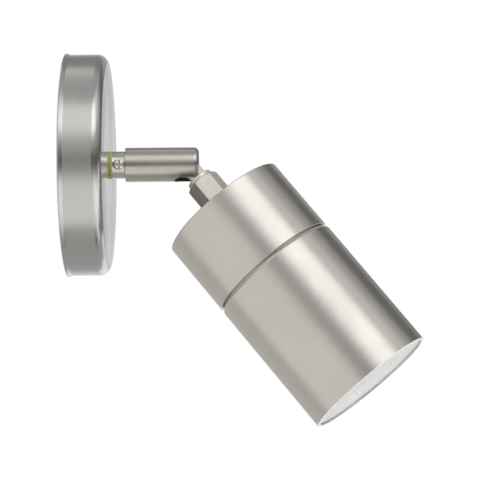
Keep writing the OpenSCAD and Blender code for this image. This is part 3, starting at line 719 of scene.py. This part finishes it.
def prism(name: str, outline: Sequence[Corner], low: float, high: float, place: Matrix) -> bpy.types.Object:
    """Draws a closed outline out along its own z axis.

    Args:
        name: Name of the piece.
        outline: Points of the outline in millimetres.
        low: Height at which it starts.
        high: Height at which it ends.
        place: The piece's frame.

    Returns:
        The new piece.
    """
    count = len(outline)
    points = [Vector((x, y, z)) * MM for z in (low, high) for x, y in outline]
    sides = [(i, (i + 1) % count, count + (i + 1) % count, count + i) for i in range(count)]
    ends = [tuple(reversed(range(count))), tuple(range(count, 2 * count))]
    return make_object(name, points, sides + ends, place)


def obround(width: float, low: float, high: float, steps: int = 24) -> list[Corner]:
    """Outline of a slot with round ends, its length along y.

    Args:
        width: Width of the slot.
        low: Where its lower end is.
        high: Where its upper end is.
        steps: Parts of each round end.

    Returns:
        The outline's points.
    """
    half = width / 2
    points: list[Corner] = []
    for middle, start in ((high - half, 0.0), (low + half, math.pi)):
        for step in range(steps + 1):
            angle = start + math.pi * step / steps
            points.append((half * math.cos(angle), middle + half * math.sin(angle)))
    return points


def polygon(radius: float, sides: int, x: float = 0.0, y: float = 0.0) -> list[Corner]:
    """Corners of a regular outline about a middle, in millimetres."""
    angles = [2 * math.pi * side / sides for side in range(sides)]
    return [(x + radius * math.cos(angle), y + radius * math.sin(angle)) for angle in angles]


def settle(piece: bpy.types.Object) -> bpy.types.Object:
    """Applies a piece's modifiers.

    Args:
        piece: The piece whose modifiers are applied.

    Returns:
        The piece.
    """
    bpy.context.view_layer.update()
    shaped = piece.evaluated_get(bpy.context.evaluated_depsgraph_get())
    mesh = bpy.data.meshes.new_from_object(shaped)
    piece.modifiers.clear()
    piece.data = mesh
    return piece


def cut(piece: bpy.types.Object, *tools: bpy.types.Object) -> bpy.types.Object:
    """Cuts tools out of a piece.

    Args:
        piece: The piece that is cut.
        tools: Solids of what is cut away, which are used up.

    Returns:
        The piece.
    """
    for tool in tools:
        modifier = piece.modifiers.new("cut", "BOOLEAN")
        modifier.operation = "DIFFERENCE"
        modifier.solver = "EXACT"
        modifier.object = tool
        settle(piece)
        bpy.data.objects.remove(tool)
    return piece


def join(piece: bpy.types.Object, other: bpy.types.Object) -> bpy.types.Object:
    """Puts the mesh of another piece into a piece.

    Args:
        piece: The piece that takes it.
        other: The piece that is used up.

    Returns:
        The piece.
    """
    made = bmesh.new()
    made.from_mesh(piece.data)
    mesh = other.data.copy()
    mesh.transform(piece.matrix_world.inverted() @ other.matrix_world)
    made.from_mesh(mesh)
    bpy.data.objects.remove(other)
    made.to_mesh(piece.data)
    made.free()
    return piece


def soften(piece: bpy.types.Object, ease: float) -> bpy.types.Object:
    """Takes the sharpness off a piece's edges.

    Args:
        piece: The piece.
        ease: Width of the eased edge in millimetres.

    Returns:
        The piece.
    """
    modifier = piece.modifiers.new("eased edges", "BEVEL")
    modifier.width = ease * MM
    modifier.segments = 2
    modifier.limit_method = "ANGLE"
    modifier.angle_limit = math.radians(40)
    modifier.use_clamp_overlap = True
    return settle(piece)


def repaint(piece: bpy.types.Object, finish: Finish, chosen: Callable[[Vector, Vector], bool]) -> None:
    """Gives some faces of a dressed piece a finish of their own.

    Args:
        piece: The piece.
        finish: The finish of the chosen faces.
        chosen: Tells by a face's middle in millimetres and its normal whether it is chosen.
    """
    mesh = piece.data
    mesh.materials.append(finish.material())
    for face in mesh.polygons:
        if chosen(face.center / MM, face.normal):
            face.material_index = len(mesh.materials) - 1


def dress(piece: bpy.types.Object, finish: Finish, body: Body, *nodes: str) -> bpy.types.Object:
    """Gives a piece its finish, its body and the solids that it stands for.

    Args:
        piece: The piece.
        finish: Its finish.
        body: The body that it rides on.
        nodes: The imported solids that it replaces.

    Returns:
        The piece.
    """
    mesh = piece.data
    mesh.polygons.foreach_set("use_smooth", [True] * len(mesh.polygons))
    mesh.set_sharp_from_angle(angle=math.radians(32))
    mesh.materials.clear()
    mesh.materials.append(finish.material())
    even = piece.modifiers.new("even shading", "WEIGHTED_NORMAL")
    even.keep_sharp = True
    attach(piece, body.value)
    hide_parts(*nodes)
    LOG.info("%s: %s on %s, %d faces", piece.name, finish.name, body.value, len(mesh.polygons))
    return piece


def copy_solids(body: Body, place: Matrix, *copies: tuple[str, str, Finish, float]) -> None:
    """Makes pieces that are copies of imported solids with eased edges.

    Args:
        body: The body that they ride on.
        place: Their frame.
        copies: Name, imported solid, finish and width of the eased edges in millimetres of each.
    """
    for name, node, finish, ease in copies:
        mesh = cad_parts[node].data.copy()
        mesh.materials.clear()
        mesh.transform(place.inverted())
        made = bmesh.new()
        made.from_mesh(mesh)
        bmesh.ops.remove_doubles(made, verts=made.verts, dist=0.001 * MM)
        bmesh.ops.dissolve_limit(made, angle_limit=math.radians(1), verts=made.verts, edges=made.edges)
        made.to_mesh(mesh)
        made.free()
        piece = put(name, mesh, place)
        dress(soften(piece, ease) if ease else piece, finish, body, node)


@dataclass
class Canopy:
    """The spun cup on the wall, with the foam behind its rim and its two side screws."""

    stance: Stance
    radius: float = 50.0
    depth: float = 19.3
    wall: float = 1.2
    corner: float = 4.4
    fall: float = 0.4
    fall_start: float = 34.0
    fall_bend: float = 300.0
    lip_flare: float = 0.6
    lip_length: float = 2.2
    neck_hole: float = 5.0
    screw_hole: float = 2.1
    screw_height: float = 6.0
    screw_radius: float = 2.0
    screw_socket: float = 1.15
    screw_pitch: float = 0.7
    gasket_width: float = 5.3
    gasket_thick: float = 2.0
    screw_start: float = 39.5
    screw_end: float = 49.9

    def build(self) -> None:
        """Makes the cup, the gasket and the screws."""
        self.cup()
        self.gasket()
        self.screws()

    def sides(self) -> list[Matrix]:
        """Frames of the two side screws, their z running out through the cup's side."""
        lift = Matrix.Translation((0, -self.screw_height * MM, 0)) @ self.stance.wall()
        return [lift @ Matrix.Rotation(math.radians(side), 4, "X") for side in (90, -90)]

    def cup(self) -> None:
        """Makes the spun cup."""
        inner = self.radius - self.wall
        lip = self.radius + self.lip_flare
        outline = eased(
            [
                (inner, 0.0, 0.15),
                (lip, 0.0, 0.4),
                (lip, 0.8, 0.35),
                (self.radius, self.lip_length, 1.6),
                (self.radius, self.depth - self.fall, self.corner),
                (self.fall_start, self.depth, self.fall_bend),
                (self.neck_hole, self.depth, EDGE),
                (self.neck_hole, self.depth - self.wall, EDGE),
                (inner, self.depth - self.wall, self.corner - self.wall),
            ],
            closed=True,
            steps=10,
        )
        cup = turned("canopy_cup", outline, self.stance.wall(), closed=True, steps=192)
        for side in self.sides():
            cut(cup, prism("hole", polygon(self.screw_hole, 48), inner - 2, lip + 2, side))
        dress(cup, CANOPY_STEEL, Body.WALL_PART, "canopy")
        bend = self.depth - self.corner
        flat = self.depth - self.fall + 0.07
        repaint(cup, CANOPY_BEND, lambda at, normal: bend < at.z and (0 < normal.z or inner < at.xy.length))
        # The front face takes the paler, cooler colour of a painted reflection.
        repaint(cup, POLISHED_FACE_PAINTED_REFLECTION, lambda at, _: flat < at.z)

    def gasket(self) -> None:
        """Makes the foam ring that seals the rim to the wall."""
        outer = self.radius - self.wall
        inner = outer - self.gasket_width
        sections = [(inner, 0.0, 0.2), (outer, 0.0, EDGE)]
        sections += [(outer, self.gasket_thick, 0.3), (inner, self.gasket_thick, 0.4)]
        ring = turned("rim_gasket", eased(sections, closed=True), self.stance.wall(), closed=True, steps=160)
        dress(ring, FOAM, Body.WALL_PART, "wall_gasket")

    def screws(self) -> None:
        """Makes the two set screws through the cup's side."""
        start, end = self.screw_start, self.screw_end
        thread = Thread(self.screw_radius, start + 0.3, end - 0.3, self.screw_pitch, 0.3)
        outline = [(0.0, start), (self.screw_radius - 0.5, start), *thread.points()]
        outline += [(self.screw_radius - 0.25, end), (0.0, end)]
        pieces = []
        for side in self.sides():
            screw = turned("screw", outline, side, steps=48, pitch=self.screw_pitch)
            pieces.append(cut(screw, prism("socket", polygon(self.screw_socket, 6), end - 2, end + 1, side)))
        both = join(*pieces)
        both.name = "canopy_side_screws"
        dress(both, BRIGHT_STEEL, Body.WALL_PART, "canopy_screws")


@dataclass
class Fixing:
    """The bracket on the wall, the terminal block on its ear and the earth screw."""

    stance: Stance

    def build(self) -> None:
        """Makes the bracket, the terminal block, its screws and the earth screw."""
        copy_solids(
            Body.WALL_PART,
            self.stance.wall(),
            ("bracket_strip", "wall_bracket", PLATED_STEEL, 0.15),
            ("terminal_housing", "terminal_block", BLOCK_PLASTIC, 0.2),
            ("clamp_screws", "terminal_screws", BRASS, 0.08),
            ("block_screws", "terminal_fixings", PLATED_STEEL, 0.1),
            ("earth_stud", "earth_screw", BRASS, 0.15),
            ("earth_disc", "earth_washer", PLATED_STEEL, 0.1),
        )


@dataclass
class Neck:
    """The neck on the canopy's face, its seal, its side screw and what holds it from behind."""

    stance: Stance
    face: float = 19.3
    seal_thick: float = 1.2
    seal_radius: float = 6.25
    radius: float = 6.15
    bore: float = 4.6
    tail: float = 4.95
    tail_start: float = 10.7
    end: float = 26.33
    bore_floor: float = 20.83
    wire_way: float = 3.0
    pocket_width: float = 4.5
    pocket_length: float = 5.1
    pocket_floor: float = 5.3
    pocket_top: float = 26.03
    screw_centre: float = 23.78
    screw_hole: float = 1.25
    screw_radius: float = 1.2
    screw_start: float = 3.7
    screw_pitch: float = 0.5
    head_radius: float = 2.2
    head_side: float = 0.35
    head_dome: float = 0.75
    slot_width: float = 1.1
    slot_depth: float = 0.6

    def build(self) -> None:
        """Makes the seal, the neck, its screw, the washer and the nut."""
        self.seal()
        self.stem()
        self.screw()
        copy_solids(
            Body.WALL_PART,
            self.stance.wall(),
            ("toothed_washer", "neck_washer", PLATED_STEEL, 0.1),
            ("thin_nut", "neck_nut", PLATED_STEEL, 0.12),
        )

    def seal(self) -> None:
        """Makes the green seal, squeezed out a little at its rim."""
        top = self.face + self.seal_thick
        sections = [(self.tail, self.face, EDGE), (self.seal_radius, self.face, 0.3)]
        sections += [(self.seal_radius, top, 0.3), (self.tail, top, EDGE)]
        ring = turned("neck_gasket", eased(sections, closed=True), self.stance.wall(), closed=True, steps=96)
        dress(ring, GREEN_SEAL, Body.WALL_PART, "neck_seal")

    def stem(self) -> None:
        """Makes the neck with its threaded tail and its pocket."""
        start = self.face + self.seal_thick
        low = self.tail_start
        outline = eased([(self.wire_way, low), (self.tail - 0.5, low, EDGE), (self.tail, low + 0.5)])
        outline += Thread(self.tail, low + 0.5, self.face - 1.0, depth=0.5).points()
        outline += eased(
            [
                (self.tail, self.face - 0.9),
                (self.tail, start),
                (self.radius, start, 0.15),
                (self.radius, self.end, 0.3),
                (self.bore, self.end, EDGE),
                (self.bore, self.bore_floor),
                (self.wire_way, self.bore_floor, EDGE),
                (self.wire_way, low),
            ]
        )[:-1]
        stem = turned("neck_collar", outline, self.stance.wall(), closed=True)
        side = self.stance.wall() @ Matrix.Rotation(math.radians(-90), 4, "Y")
        side = side @ Matrix.Rotation(math.radians(-90), 4, "Z")
        opening = obround(self.pocket_width, self.pocket_top - self.pocket_length, self.pocket_top)
        pocket = prism("pocket", opening, self.pocket_floor, self.radius + 1, side)
        hole = prism("hole", polygon(self.screw_hole, 32, y=self.screw_centre), 0.5, self.radius + 1, side)
        cut(stem, pocket, hole)
        dress(soften(stem, 0.08), NECK_STEEL, Body.WALL_PART, "neck_stem")

    def screw(self) -> None:
        """Makes the slotted screw in the neck's pocket."""
        lift = Matrix.Translation((0, 0, self.screw_centre * MM))
        side = self.stance.wall() @ lift @ Matrix.Rotation(math.radians(-90), 4, "Y")
        dome_start = self.pocket_floor + self.head_side
        dome_end = dome_start + self.head_dome
        tip, start = self.screw_radius - 0.4, self.screw_start
        outline = [(0.0, start), (tip - 0.2, start), (tip, start + 0.2), (tip, start + 1.0)]
        thread = Thread(self.screw_radius, start + 1.02, self.pocket_floor - 0.02, self.screw_pitch, 0.15)
        outline += thread.points()
        outline += eased(
            [
                (self.screw_radius, self.pocket_floor),
                (self.head_radius, self.pocket_floor, EDGE),
                (self.head_radius, dome_start - 0.05),
            ]
        )
        for step in range(11):
            angle = math.pi / 2 * step / 10
            reach = self.head_radius * math.cos(angle) if step < 10 else 0.0
            outline.append((reach, dome_start + self.head_dome * math.sin(angle)))
        screw = turned("neck_side_screw", outline, side, steps=64, pitch=self.screw_pitch)
        half = self.slot_width / 2
        across = [(-half, -3), (half, -3), (half, 3), (-half, 3)]
        cut(screw, prism("slot", across, dome_end - self.slot_depth, dome_end + 1, side))
        dress(soften(screw, 0.05), SCREW_STEEL, Body.WALL_PART, "neck_screw")


@dataclass
class Arm:
    """The turned arm with its turning pin and its milled fork, and the pivot screw."""

    stance: Stance
    start: float = 26.43
    end: float = 59.57
    radius: float = 7.78
    round_end: float = 2.0
    chamfer: float = 0.12
    pin_radius: float = 4.55
    pin_start: float = 21.13
    groove_start: float = 22.83
    groove_end: float = 24.73
    groove_radius: float = 3.75
    wire_way: float = 3.0
    pivot: float = 54.42
    fork_width: float = 6.5
    fork_roof: float = 4.0
    fork_back: float = 5.92
    seat: float = 4.6
    seat_radius: float = 3.7
    bore: float = 2.1
    screw_radius: float = 2.0
    screw_head: float = 3.4
    screw_socket: float = 1.45
    screw_tip: float = -6.0
    screw_pitch: float = 0.7

    def build(self) -> None:
        """Makes the arm, the pivot screw and its washer."""
        self.bar()
        self.pivot_screw()
        copy_solids(Body.ARM, self.across(), ("spring_washer", "pivot_washer", BRIGHT_STEEL, 0.08))

    def across(self) -> Matrix:
        """Frame of the pivot, its z running along the pivot screw towards its head."""
        lift = Matrix.Translation((0, 0, self.pivot * MM))
        return self.stance.arm() @ lift @ Matrix.Rotation(math.radians(90), 4, "Y")

    def bar(self) -> None:
        """Makes the turned bar and mills its fork."""
        outline = eased(
            [
                (0.0, self.pin_start),
                (self.pin_radius, self.pin_start, 0.25),
                (self.pin_radius, self.groove_start),
                (self.groove_radius, self.groove_start),
                (self.groove_radius, self.groove_end),
                (self.pin_radius, self.groove_end),
                (self.pin_radius, self.start),
                (self.radius, self.start, self.chamfer),
                (self.radius, self.end, self.round_end),
                (0.0, self.end),
            ],
            steps=8,
        )
        bar = turned("arm_bar", outline, self.stance.arm())
        start = self.pivot - self.fork_back
        half = self.fork_width / 2
        down = self.stance.arm() @ Matrix.Rotation(math.radians(90), 4, "X")
        arch = [(-half, self.end + 2), (-half, start + half)]
        for step in range(1, 24):
            angle = math.pi * step / 24
            arch.append((-half * math.cos(angle), start + half - half * math.sin(angle)))
        arch += [(half, start + half), (half, self.end + 2)]
        fork = prism("fork", arch, -self.fork_roof, self.radius + 2, down)
        way = prism("way", polygon(self.wire_way, 48), self.pin_start - 1, start + half, self.stance.arm())
        seat = prism("seat", polygon(self.seat_radius, 64), self.seat, self.radius + 1, self.across())
        bore = prism("bore", polygon(self.bore, 48), 0.0, self.radius, self.across())
        tapped = prism("tapped", polygon(self.screw_radius, 48), -half - 2.95, 1.0, self.across())
        cut(bar, way, fork, seat, bore, tapped)
        dress(soften(bar, 0.12), ARM_STEEL, Body.ARM, "arm")
        # The faces inside the fork slot get painted shade.
        side = half + 0.05
        back = start - 0.05
        inside = self.radius - 0.9
        repaint(bar, FORK_SLOT_PAINTED_SHADE, lambda at, _: abs(at.x) < side and back < at.z and at.xy.length < inside)

    def pivot_screw(self) -> None:
        """Makes the socket screw that the head tilts on."""
        head = self.seat + 0.7
        top = head + 2
        thread = Thread(self.screw_radius, self.screw_tip + 0.3, self.screw_tip + 2.7, self.screw_pitch, 0.3)
        outline = [(0.0, self.screw_tip), (self.screw_radius - 0.4, self.screw_tip), *thread.points()]
        outline += eased(
            [
                (self.screw_radius, self.screw_tip + 2.8),
                (self.screw_radius, head),
                (self.screw_head, head, EDGE),
                (self.screw_head, top, 0.25),
                (0.0, top),
            ]
        )
        screw = turned("pivot_bolt", outline, self.across(), steps=72, pitch=self.screw_pitch)
        cut(screw, prism("socket", polygon(self.screw_socket, 6), top - 1.2, top + 1, self.across()))
        dress(soften(screw, 0.06), BRIGHT_STEEL, Body.ARM, "pivot_screw")


@dataclass
class Knuckle:
    """The tongue and stud that carry the head, its hexagonal sleeve and what clamps it inside."""

    stance: Stance

    def build(self) -> None:
        """Makes the knuckle, the sleeve, the stud's seal, washer and nut."""
        copy_solids(
            Body.HEAD,
            self.stance.head(),
            ("tongue_and_stud", "knuckle", KNUCKLE_STEEL, 0.1),
            ("six_sided_sleeve", "hex_sleeve", KNUCKLE_STEEL, 0.38),
            ("stud_gasket", "stud_seal", SILICONE, 0.15),
            ("stud_disc", "stud_washer", PLATED_STEEL, 0.1),
            ("stud_locknut", "stud_nut", PLATED_STEEL, 0.12),
        )


@dataclass
class Housing:
    """The rear part of the head, with its screwed neck, O-ring and lamp holder."""

    stance: Stance
    start: float = 26.456
    end: float = 62.196
    radius: float = 30.1
    wall: float = 1.8
    back: float = 2.0
    chamfer: float = 0.4
    stud: float = 4.0
    spigot: float = 28.4
    spigot_bore: float = 26.0
    spigot_length: float = 8.8
    groove_start: float = 62.996
    groove_width: float = 1.8
    groove_bottom: float = 27.0
    ring_thick: float = 1.4

    def build(self) -> None:
        """Makes the shell, the O-ring, the strap, the lamp holder and its screws."""
        self.shell()
        self.o_ring()
        copy_solids(
            Body.HEAD,
            self.stance.head(),
            ("holder_strap", "holder_bracket", PLATED_STEEL, 0.15),
            ("holder_block", "lamp_holder", CERAMIC, 0.25),
            ("holder_bolts", "holder_screws", PLATED_STEEL, 0.12),
        )

    def shell(self) -> None:
        """Makes the turned shell with the thread on its neck."""
        inner = self.radius - self.wall
        tip = self.end + self.spigot_length
        groove_end = self.groove_start + self.groove_width
        outline = eased(
            [
                (self.stud, self.start),
                (self.radius, self.start, self.chamfer),
                (self.radius, self.end, self.chamfer),
                (self.spigot, self.end, EDGE),
                (self.spigot, self.groove_start, EDGE),
                (self.groove_bottom, self.groove_start, EDGE),
                (self.groove_bottom, groove_end, EDGE),
                (self.spigot, groove_end, EDGE),
                (self.spigot, groove_end + 0.3),
            ]
        )
        outline += Thread(self.spigot, groove_end + 0.4, tip - 0.5, depth=0.35).points()
        outline += eased(
            [
                (self.spigot, tip - 0.4),
                (self.spigot - 0.4, tip, EDGE),
                (self.spigot_bore, tip, EDGE),
                (self.spigot_bore, self.end - self.wall, EDGE),
                (inner, self.end - self.wall, 0.2),
                (inner, self.start + self.back, 0.6),
                (self.stud, self.start + self.back),
            ]
        )
        shell = turned("rear_shell", outline, self.stance.head(), closed=True, steps=192)
        dress(shell, HEAD_STEEL, Body.HEAD, "rear_housing")

    def o_ring(self) -> None:
        """Makes the rubber ring in the neck's groove."""
        half = self.ring_thick / 2
        middle = self.groove_start + self.groove_width / 2
        section = polygon(half, 20, self.groove_bottom + half, middle)
        ring = turned("neck_o_ring", section, self.stance.head(), closed=True, steps=160)
        dress(ring, BLACK_RUBBER, Body.HEAD, "housing_o_ring")


@dataclass
class Barrel:
    """The front part of the head, which screws off, with its glass and its gasket."""

    stance: Stance
    start: float = 62.696
    end: float = 129.626
    radius: float = 30.25
    bore: float = 28.75
    thread_bore: float = 28.45
    thread_end: float = 72.496
    bevel_length: float = 1.6
    bevel_depth: float = 1.2
    rim: float = 0.25
    ledge: float = 27.0
    ledge_back: float = 121.526
    ledge_front: float = 123.526
    glass_back: float = 125.026
    glass_front: float = 129.026
    glass_radius: float = 28.7
    glass_edge: float = 0.12

    def build(self) -> None:
        """Makes the barrel, the gasket and the glass."""
        self.tube()
        self.gasket()
        self.glass()

    def tube(self) -> None:
        """Makes the turned barrel with the thread in its rear end."""
        outline = eased(
            [
                (self.thread_bore, self.start + 0.3),
                (self.thread_bore + 0.3, self.start, EDGE),
                (self.radius - self.bevel_depth, self.start, EDGE),
                (self.radius, self.start + self.bevel_length, 0.15),
                (self.radius, self.end, self.rim),
                (self.bore, self.end, 0.15),
                (self.bore, self.glass_front),
                (self.bore, self.ledge_front, EDGE),
                (self.ledge, self.ledge_front, EDGE),
                (self.ledge, self.ledge_back, EDGE),
                (self.bore, self.ledge_back - 1.75, 0.3),
                (self.bore, self.thread_end, EDGE),
                (self.thread_bore, self.thread_end),
            ]
        )
        outline += Thread(self.thread_bore, self.thread_end - 0.2, self.start + 0.5, depth=-0.28).points()
        tube = turned("front_tube", outline, self.stance.head(), closed=True, steps=192)
        dress(tube, HEAD_STEEL, Body.BARREL, "front_barrel")
        # The rear bevel gets a painted highlight.
        rear = self.start + self.bevel_length
        inside = self.radius - self.bevel_depth
        repaint(tube, BEVEL_PAINTED_HIGHLIGHT, lambda at, _: at.z < rear and inside <= at.xy.length)
        # The front rim and the bore in front of the glass get painted light.
        front = self.end - self.rim
        pane = self.glass_front - 0.02
        wall = self.bore + 0.1
        repaint(tube, RIM_PAINTED_LIGHT, lambda at, _: front < at.z or (pane < at.z and at.xy.length < wall))

    def gasket(self) -> None:
        """Makes the silicone ring behind the glass."""
        outline = eased(
            [
                (self.ledge, self.ledge_front, 0.2),
                (self.bore, self.ledge_front, EDGE),
                (self.bore, self.glass_back, EDGE),
                (self.ledge, self.glass_back, 0.3),
            ],
            closed=True,
        )
        ring = turned("glass_gasket", outline, self.stance.head(), closed=True, steps=160)
        dress(ring, SILICONE, Body.BARREL, "lens_gasket")

    def glass(self) -> None:
        """Makes the front glass with its ground rim."""
        outline = eased(
            [
                (0.0, self.glass_back),
                (self.glass_radius, self.glass_back, self.glass_edge),
                (self.glass_radius, self.glass_front, self.glass_edge),
                (0.0, self.glass_front),
            ]
        )
        pane = turned("front_glass", outline, self.stance.head(), steps=160)
        dress(pane, CLEAR_GLASS, Body.BARREL, "lens_glass")


@dataclass
class ReflectorLamp:
    """The turn-and-lock reflector lamp."""

    stance: Stance

    def build(self) -> None:
        """Makes the lamp's base, reflector, cover and pins."""
        copy_solids(
            Body.LAMP,
            self.stance.head(),
            ("lamp_foot", "lamp_base", CERAMIC, 0.2),
            ("lamp_bowl", "lamp_reflector", LAMP_MIRROR, 0.0),
            ("lamp_front", "lamp_cover", LAMP_GLASS, 0.1),
            ("lamp_studs", "lamp_pins", BRIGHT_STEEL, 0.2),
        )


@dataclass(frozen=True)
class Panel:
    """A soft card of the surround: its place and size in degrees, its brightness and its soft edges."""

    azimuth: float
    elevation: float
    half_width: float
    half_height: float
    level: float
    side_edge: float = 12
    top_edge: float = 8
    colour: Colour = WHITE


WARM: Colour = (1.0, 0.99, 0.95)
FLOOR_WARM: Colour = (1.0, 0.985, 0.96)


@dataclass(frozen=True)
class Flag:
    """A small dark card that only near surfaces reflect: two of its corners, its level and its reach."""

    name: str = "knuckle_flag"
    low: Corner = (-0.014, -0.05, -0.03)
    high: Corner = (0.03, -0.05, -0.0125)
    level: float = 0.08
    reach: float = 0.024

    def build(self) -> None:
        """Makes the card."""
        (left, depth, bottom), (right, _, top) = self.low, self.high
        rim = ((left, bottom), (right, bottom), (right, top), (left, top))
        card = make_object(self.name, [Vector((x, depth, z)) for x, z in rim], [(0, 1, 2, 3)], Matrix())
        material = bpy.data.materials.new(self.name)
        wiring = emptied(material)
        glow = wiring.add("ShaderNodeEmission", rgba((self.level,) * 3))
        near = wiring.math("LESS_THAN", wiring.add("ShaderNodeLightPath").outputs["Ray Length"], self.reach)
        clear = wiring.add("ShaderNodeBsdfTransparent")
        mixed = wiring.add("ShaderNodeMixShader", near, clear.outputs[0], glow.outputs[0])
        wiring.add("ShaderNodeOutputMaterial", mixed.outputs[0])
        card.data.materials.append(material)
        card.visible_camera = False
        card.visible_diffuse = False
        card.visible_transmission = False
        card.visible_shadow = False


@dataclass
class Studio:
    """The pale floor, the white surround, the lamp, the camera and a small dark card."""

    floor_height: float = -0.2
    floor_half: float = 4.0
    floor_grey: float = 0.8
    floor_glow: float = 0.36
    base_level: float = 0.45
    soft_level: float = 0.82
    lamp_place: Corner = (-0.7, -0.45, 1.1)
    lamp_aim: Corner = (0.0, -0.06, 0.0)
    lamp_size: Corner = (1.2, 0.8)
    lamp_power: float = 6.0
    camera_place: Corner = (-0.89508, -0.08561, -0.03456)
    camera_yaw: float = 0.0085
    camera_pitch: float = 0.00015
    camera_roll: float = 0.0079
    camera_reach: float = 1973.2
    picture_width: float = 480.0
    panels: list[Panel] = field(
        default_factory=lambda: [
            Panel(180, 44, 40, 18, 0.27),
            Panel(-125, -18, 35, 30, 0.62, 12, 10, WARM),
            Panel(5, -41, 100, 25, 0.92, 14, 8, FLOOR_WARM),
            Panel(65, -30, 38, 18, 1.25, 14),
            Panel(0, 46, 97, 17, 0.8, 14),
            Panel(31, 46, 28, 17, 1.65, 14, 9),
            Panel(-133, 65, 33, 8, 1.05, 12, 6),
            Panel(-54, -4, 40, 28, 0.88, 12, 10, WARM),
            Panel(63, 3, 72, 9, 0.12, 12, 7),
            Panel(134, 20, 17, 23, 0.17, 8, 6),
            Panel(112, -13, 30, 11, 1.35, 8, 5),
            Panel(85, -71, 30, 11, 0.22, 14, 6),
            Panel(148, 7, 9, 7, 0.12, 5, 5),
            Panel(165, 5, 8, 8, 0.25, 5, 5),
            Panel(184, -4, 13, 22, 0.7, 6),
            Panel(164, -22, 18, 14, 1.05, 8, 6),
        ]
    )

    def build(self) -> None:
        """Makes the surround, the floor, the lamp, the camera and the card."""
        self.surround()
        self.floor()
        self.lamp()
        self.camera()
        Flag().build()

    def surround(self) -> None:
        """Makes the world: white to the eye and through glass, with soft panels in reflections."""
        world = bpy.data.worlds.new("studio")
        bpy.context.scene.world = world
        wiring = emptied(world)
        rays = wiring.add("ShaderNodeLightPath").outputs
        direction = wiring.add("ShaderNodeTexCoord").outputs["Generated"]
        x, y, z = wiring.add("ShaderNodeSeparateXYZ", direction).outputs
        to_right, to_front = (wiring.math("MULTIPLY", side, -1.0) for side in (y, x))
        azimuth = wiring.math("MULTIPLY", wiring.math("ARCTAN2", to_right, to_front), 180 / math.pi)
        elevation = wiring.math("MULTIPLY", wiring.math("ARCSINE", z), 180 / math.pi)
        total: object = rgba((self.base_level,) * 3)
        for panel in self.panels:
            aside = wiring.math("ABSOLUTE", wiring.math("SUBTRACT", azimuth, panel.azimuth))
            aside = wiring.math("MINIMUM", aside, wiring.math("SUBTRACT", 360.0, aside))
            above = wiring.math("ABSOLUTE", wiring.math("SUBTRACT", elevation, panel.elevation))
            side, top = panel.side_edge, panel.top_edge
            wide = wiring.spread(aside, panel.half_width - side, panel.half_width + side, 1.0, 0.0)
            high = wiring.spread(above, panel.half_height - top, panel.half_height + top, 1.0, 0.0)
            share = wiring.math("MULTIPLY", wide, high)
            total = wiring.blend(share, total, rgba(tuple(panel.level * part for part in panel.colour)))
        plain = wiring.math("ADD", rays["Is Camera Ray"], rays["Is Transmission Ray"], clamp=True)
        shown = wiring.blend(rays["Is Glossy Ray"], rgba((self.soft_level,) * 3), total)
        shown = wiring.blend(plain, shown, rgba(WHITE))
        wiring.add("ShaderNodeOutputWorld", wiring.add("ShaderNodeBackground", shown).outputs[0])

    def floor(self) -> None:
        """Makes the pale floor, which shows white and keeps the light's shadow."""
        half = self.floor_half
        corners = [Vector((x * half, y * half, 0)) for x, y in ((-1, -1), (1, -1), (1, 1), (-1, 1))]
        sheet = make_object("floor", corners, [(0, 1, 2, 3)], Matrix.Translation((0, 0, self.floor_height)))
        material = bpy.data.materials.new("pale floor")
        wiring = emptied(material)
        rays = wiring.add("ShaderNodeLightPath").outputs
        matt = wiring.add("ShaderNodeBsdfDiffuse", rgba((self.floor_grey,) * 3))
        seen = wiring.math("ADD", rays["Is Camera Ray"], rays["Is Glossy Ray"])
        seen = wiring.math("ADD", seen, rays["Is Transmission Ray"], clamp=True)
        strength = wiring.math("MULTIPLY", seen, self.floor_glow)
        glow = wiring.fill(wiring.add("ShaderNodeEmission"), Strength=strength)
        both = wiring.add("ShaderNodeAddShader", matt.outputs[0], glow.outputs[0])
        wiring.add("ShaderNodeOutputMaterial", both.outputs[0])
        sheet.data.materials.append(material)
        sheet.visible_glossy = False

    def lamp(self) -> None:
        """Hangs the soft lamp above and to the right of the camera."""
        light = bpy.data.lights.new("softbox", "AREA")
        light.shape = "RECTANGLE"
        light.size, light.size_y = self.lamp_size
        light.energy = self.lamp_power
        turn = (Vector(self.lamp_aim) - Vector(self.lamp_place)).to_track_quat("-Z", "Y")
        lamp = put("softbox", light, Matrix.Translation(self.lamp_place) @ turn.to_matrix().to_4x4())
        lamp.visible_glossy = False

    def camera(self) -> None:
        """Sets the camera where the photograph was taken from."""
        forward = Vector((1.0, self.camera_yaw, self.camera_pitch)).normalized()
        level = forward.cross(Vector((0.0, 0.0, 1.0))).normalized()
        across = (level - self.camera_roll * level.cross(forward)).normalized()
        upright = across.cross(forward)
        turn = Matrix((across, upright, -forward)).transposed().to_4x4()
        data = bpy.data.cameras.new("camera")
        data.sensor_width = 36.0
        data.lens = self.camera_reach / self.picture_width * data.sensor_width
        data.clip_start = 0.01
        bpy.context.scene.camera = put("camera", data, Matrix.Translation(self.camera_place) @ turn)


def main() -> None:
    """Builds the light's sub-assemblies and the studio."""
    logging.basicConfig(level=logging.INFO, format="%(message)s")
    bpy.context.scene.view_settings.view_transform = "Standard"
    stance = Stance()
    for assembly in (
        Canopy(stance),
        Fixing(stance),
        Neck(stance),
        Arm(stance),
        Knuckle(stance),
        Housing(stance),
        Barrel(stance),
        ReflectorLamp(stance),
        Studio(),
    ):
        LOG.info("building %s", type(assembly).__name__)
        assembly.build()


if __name__ == "__main__":
    main()
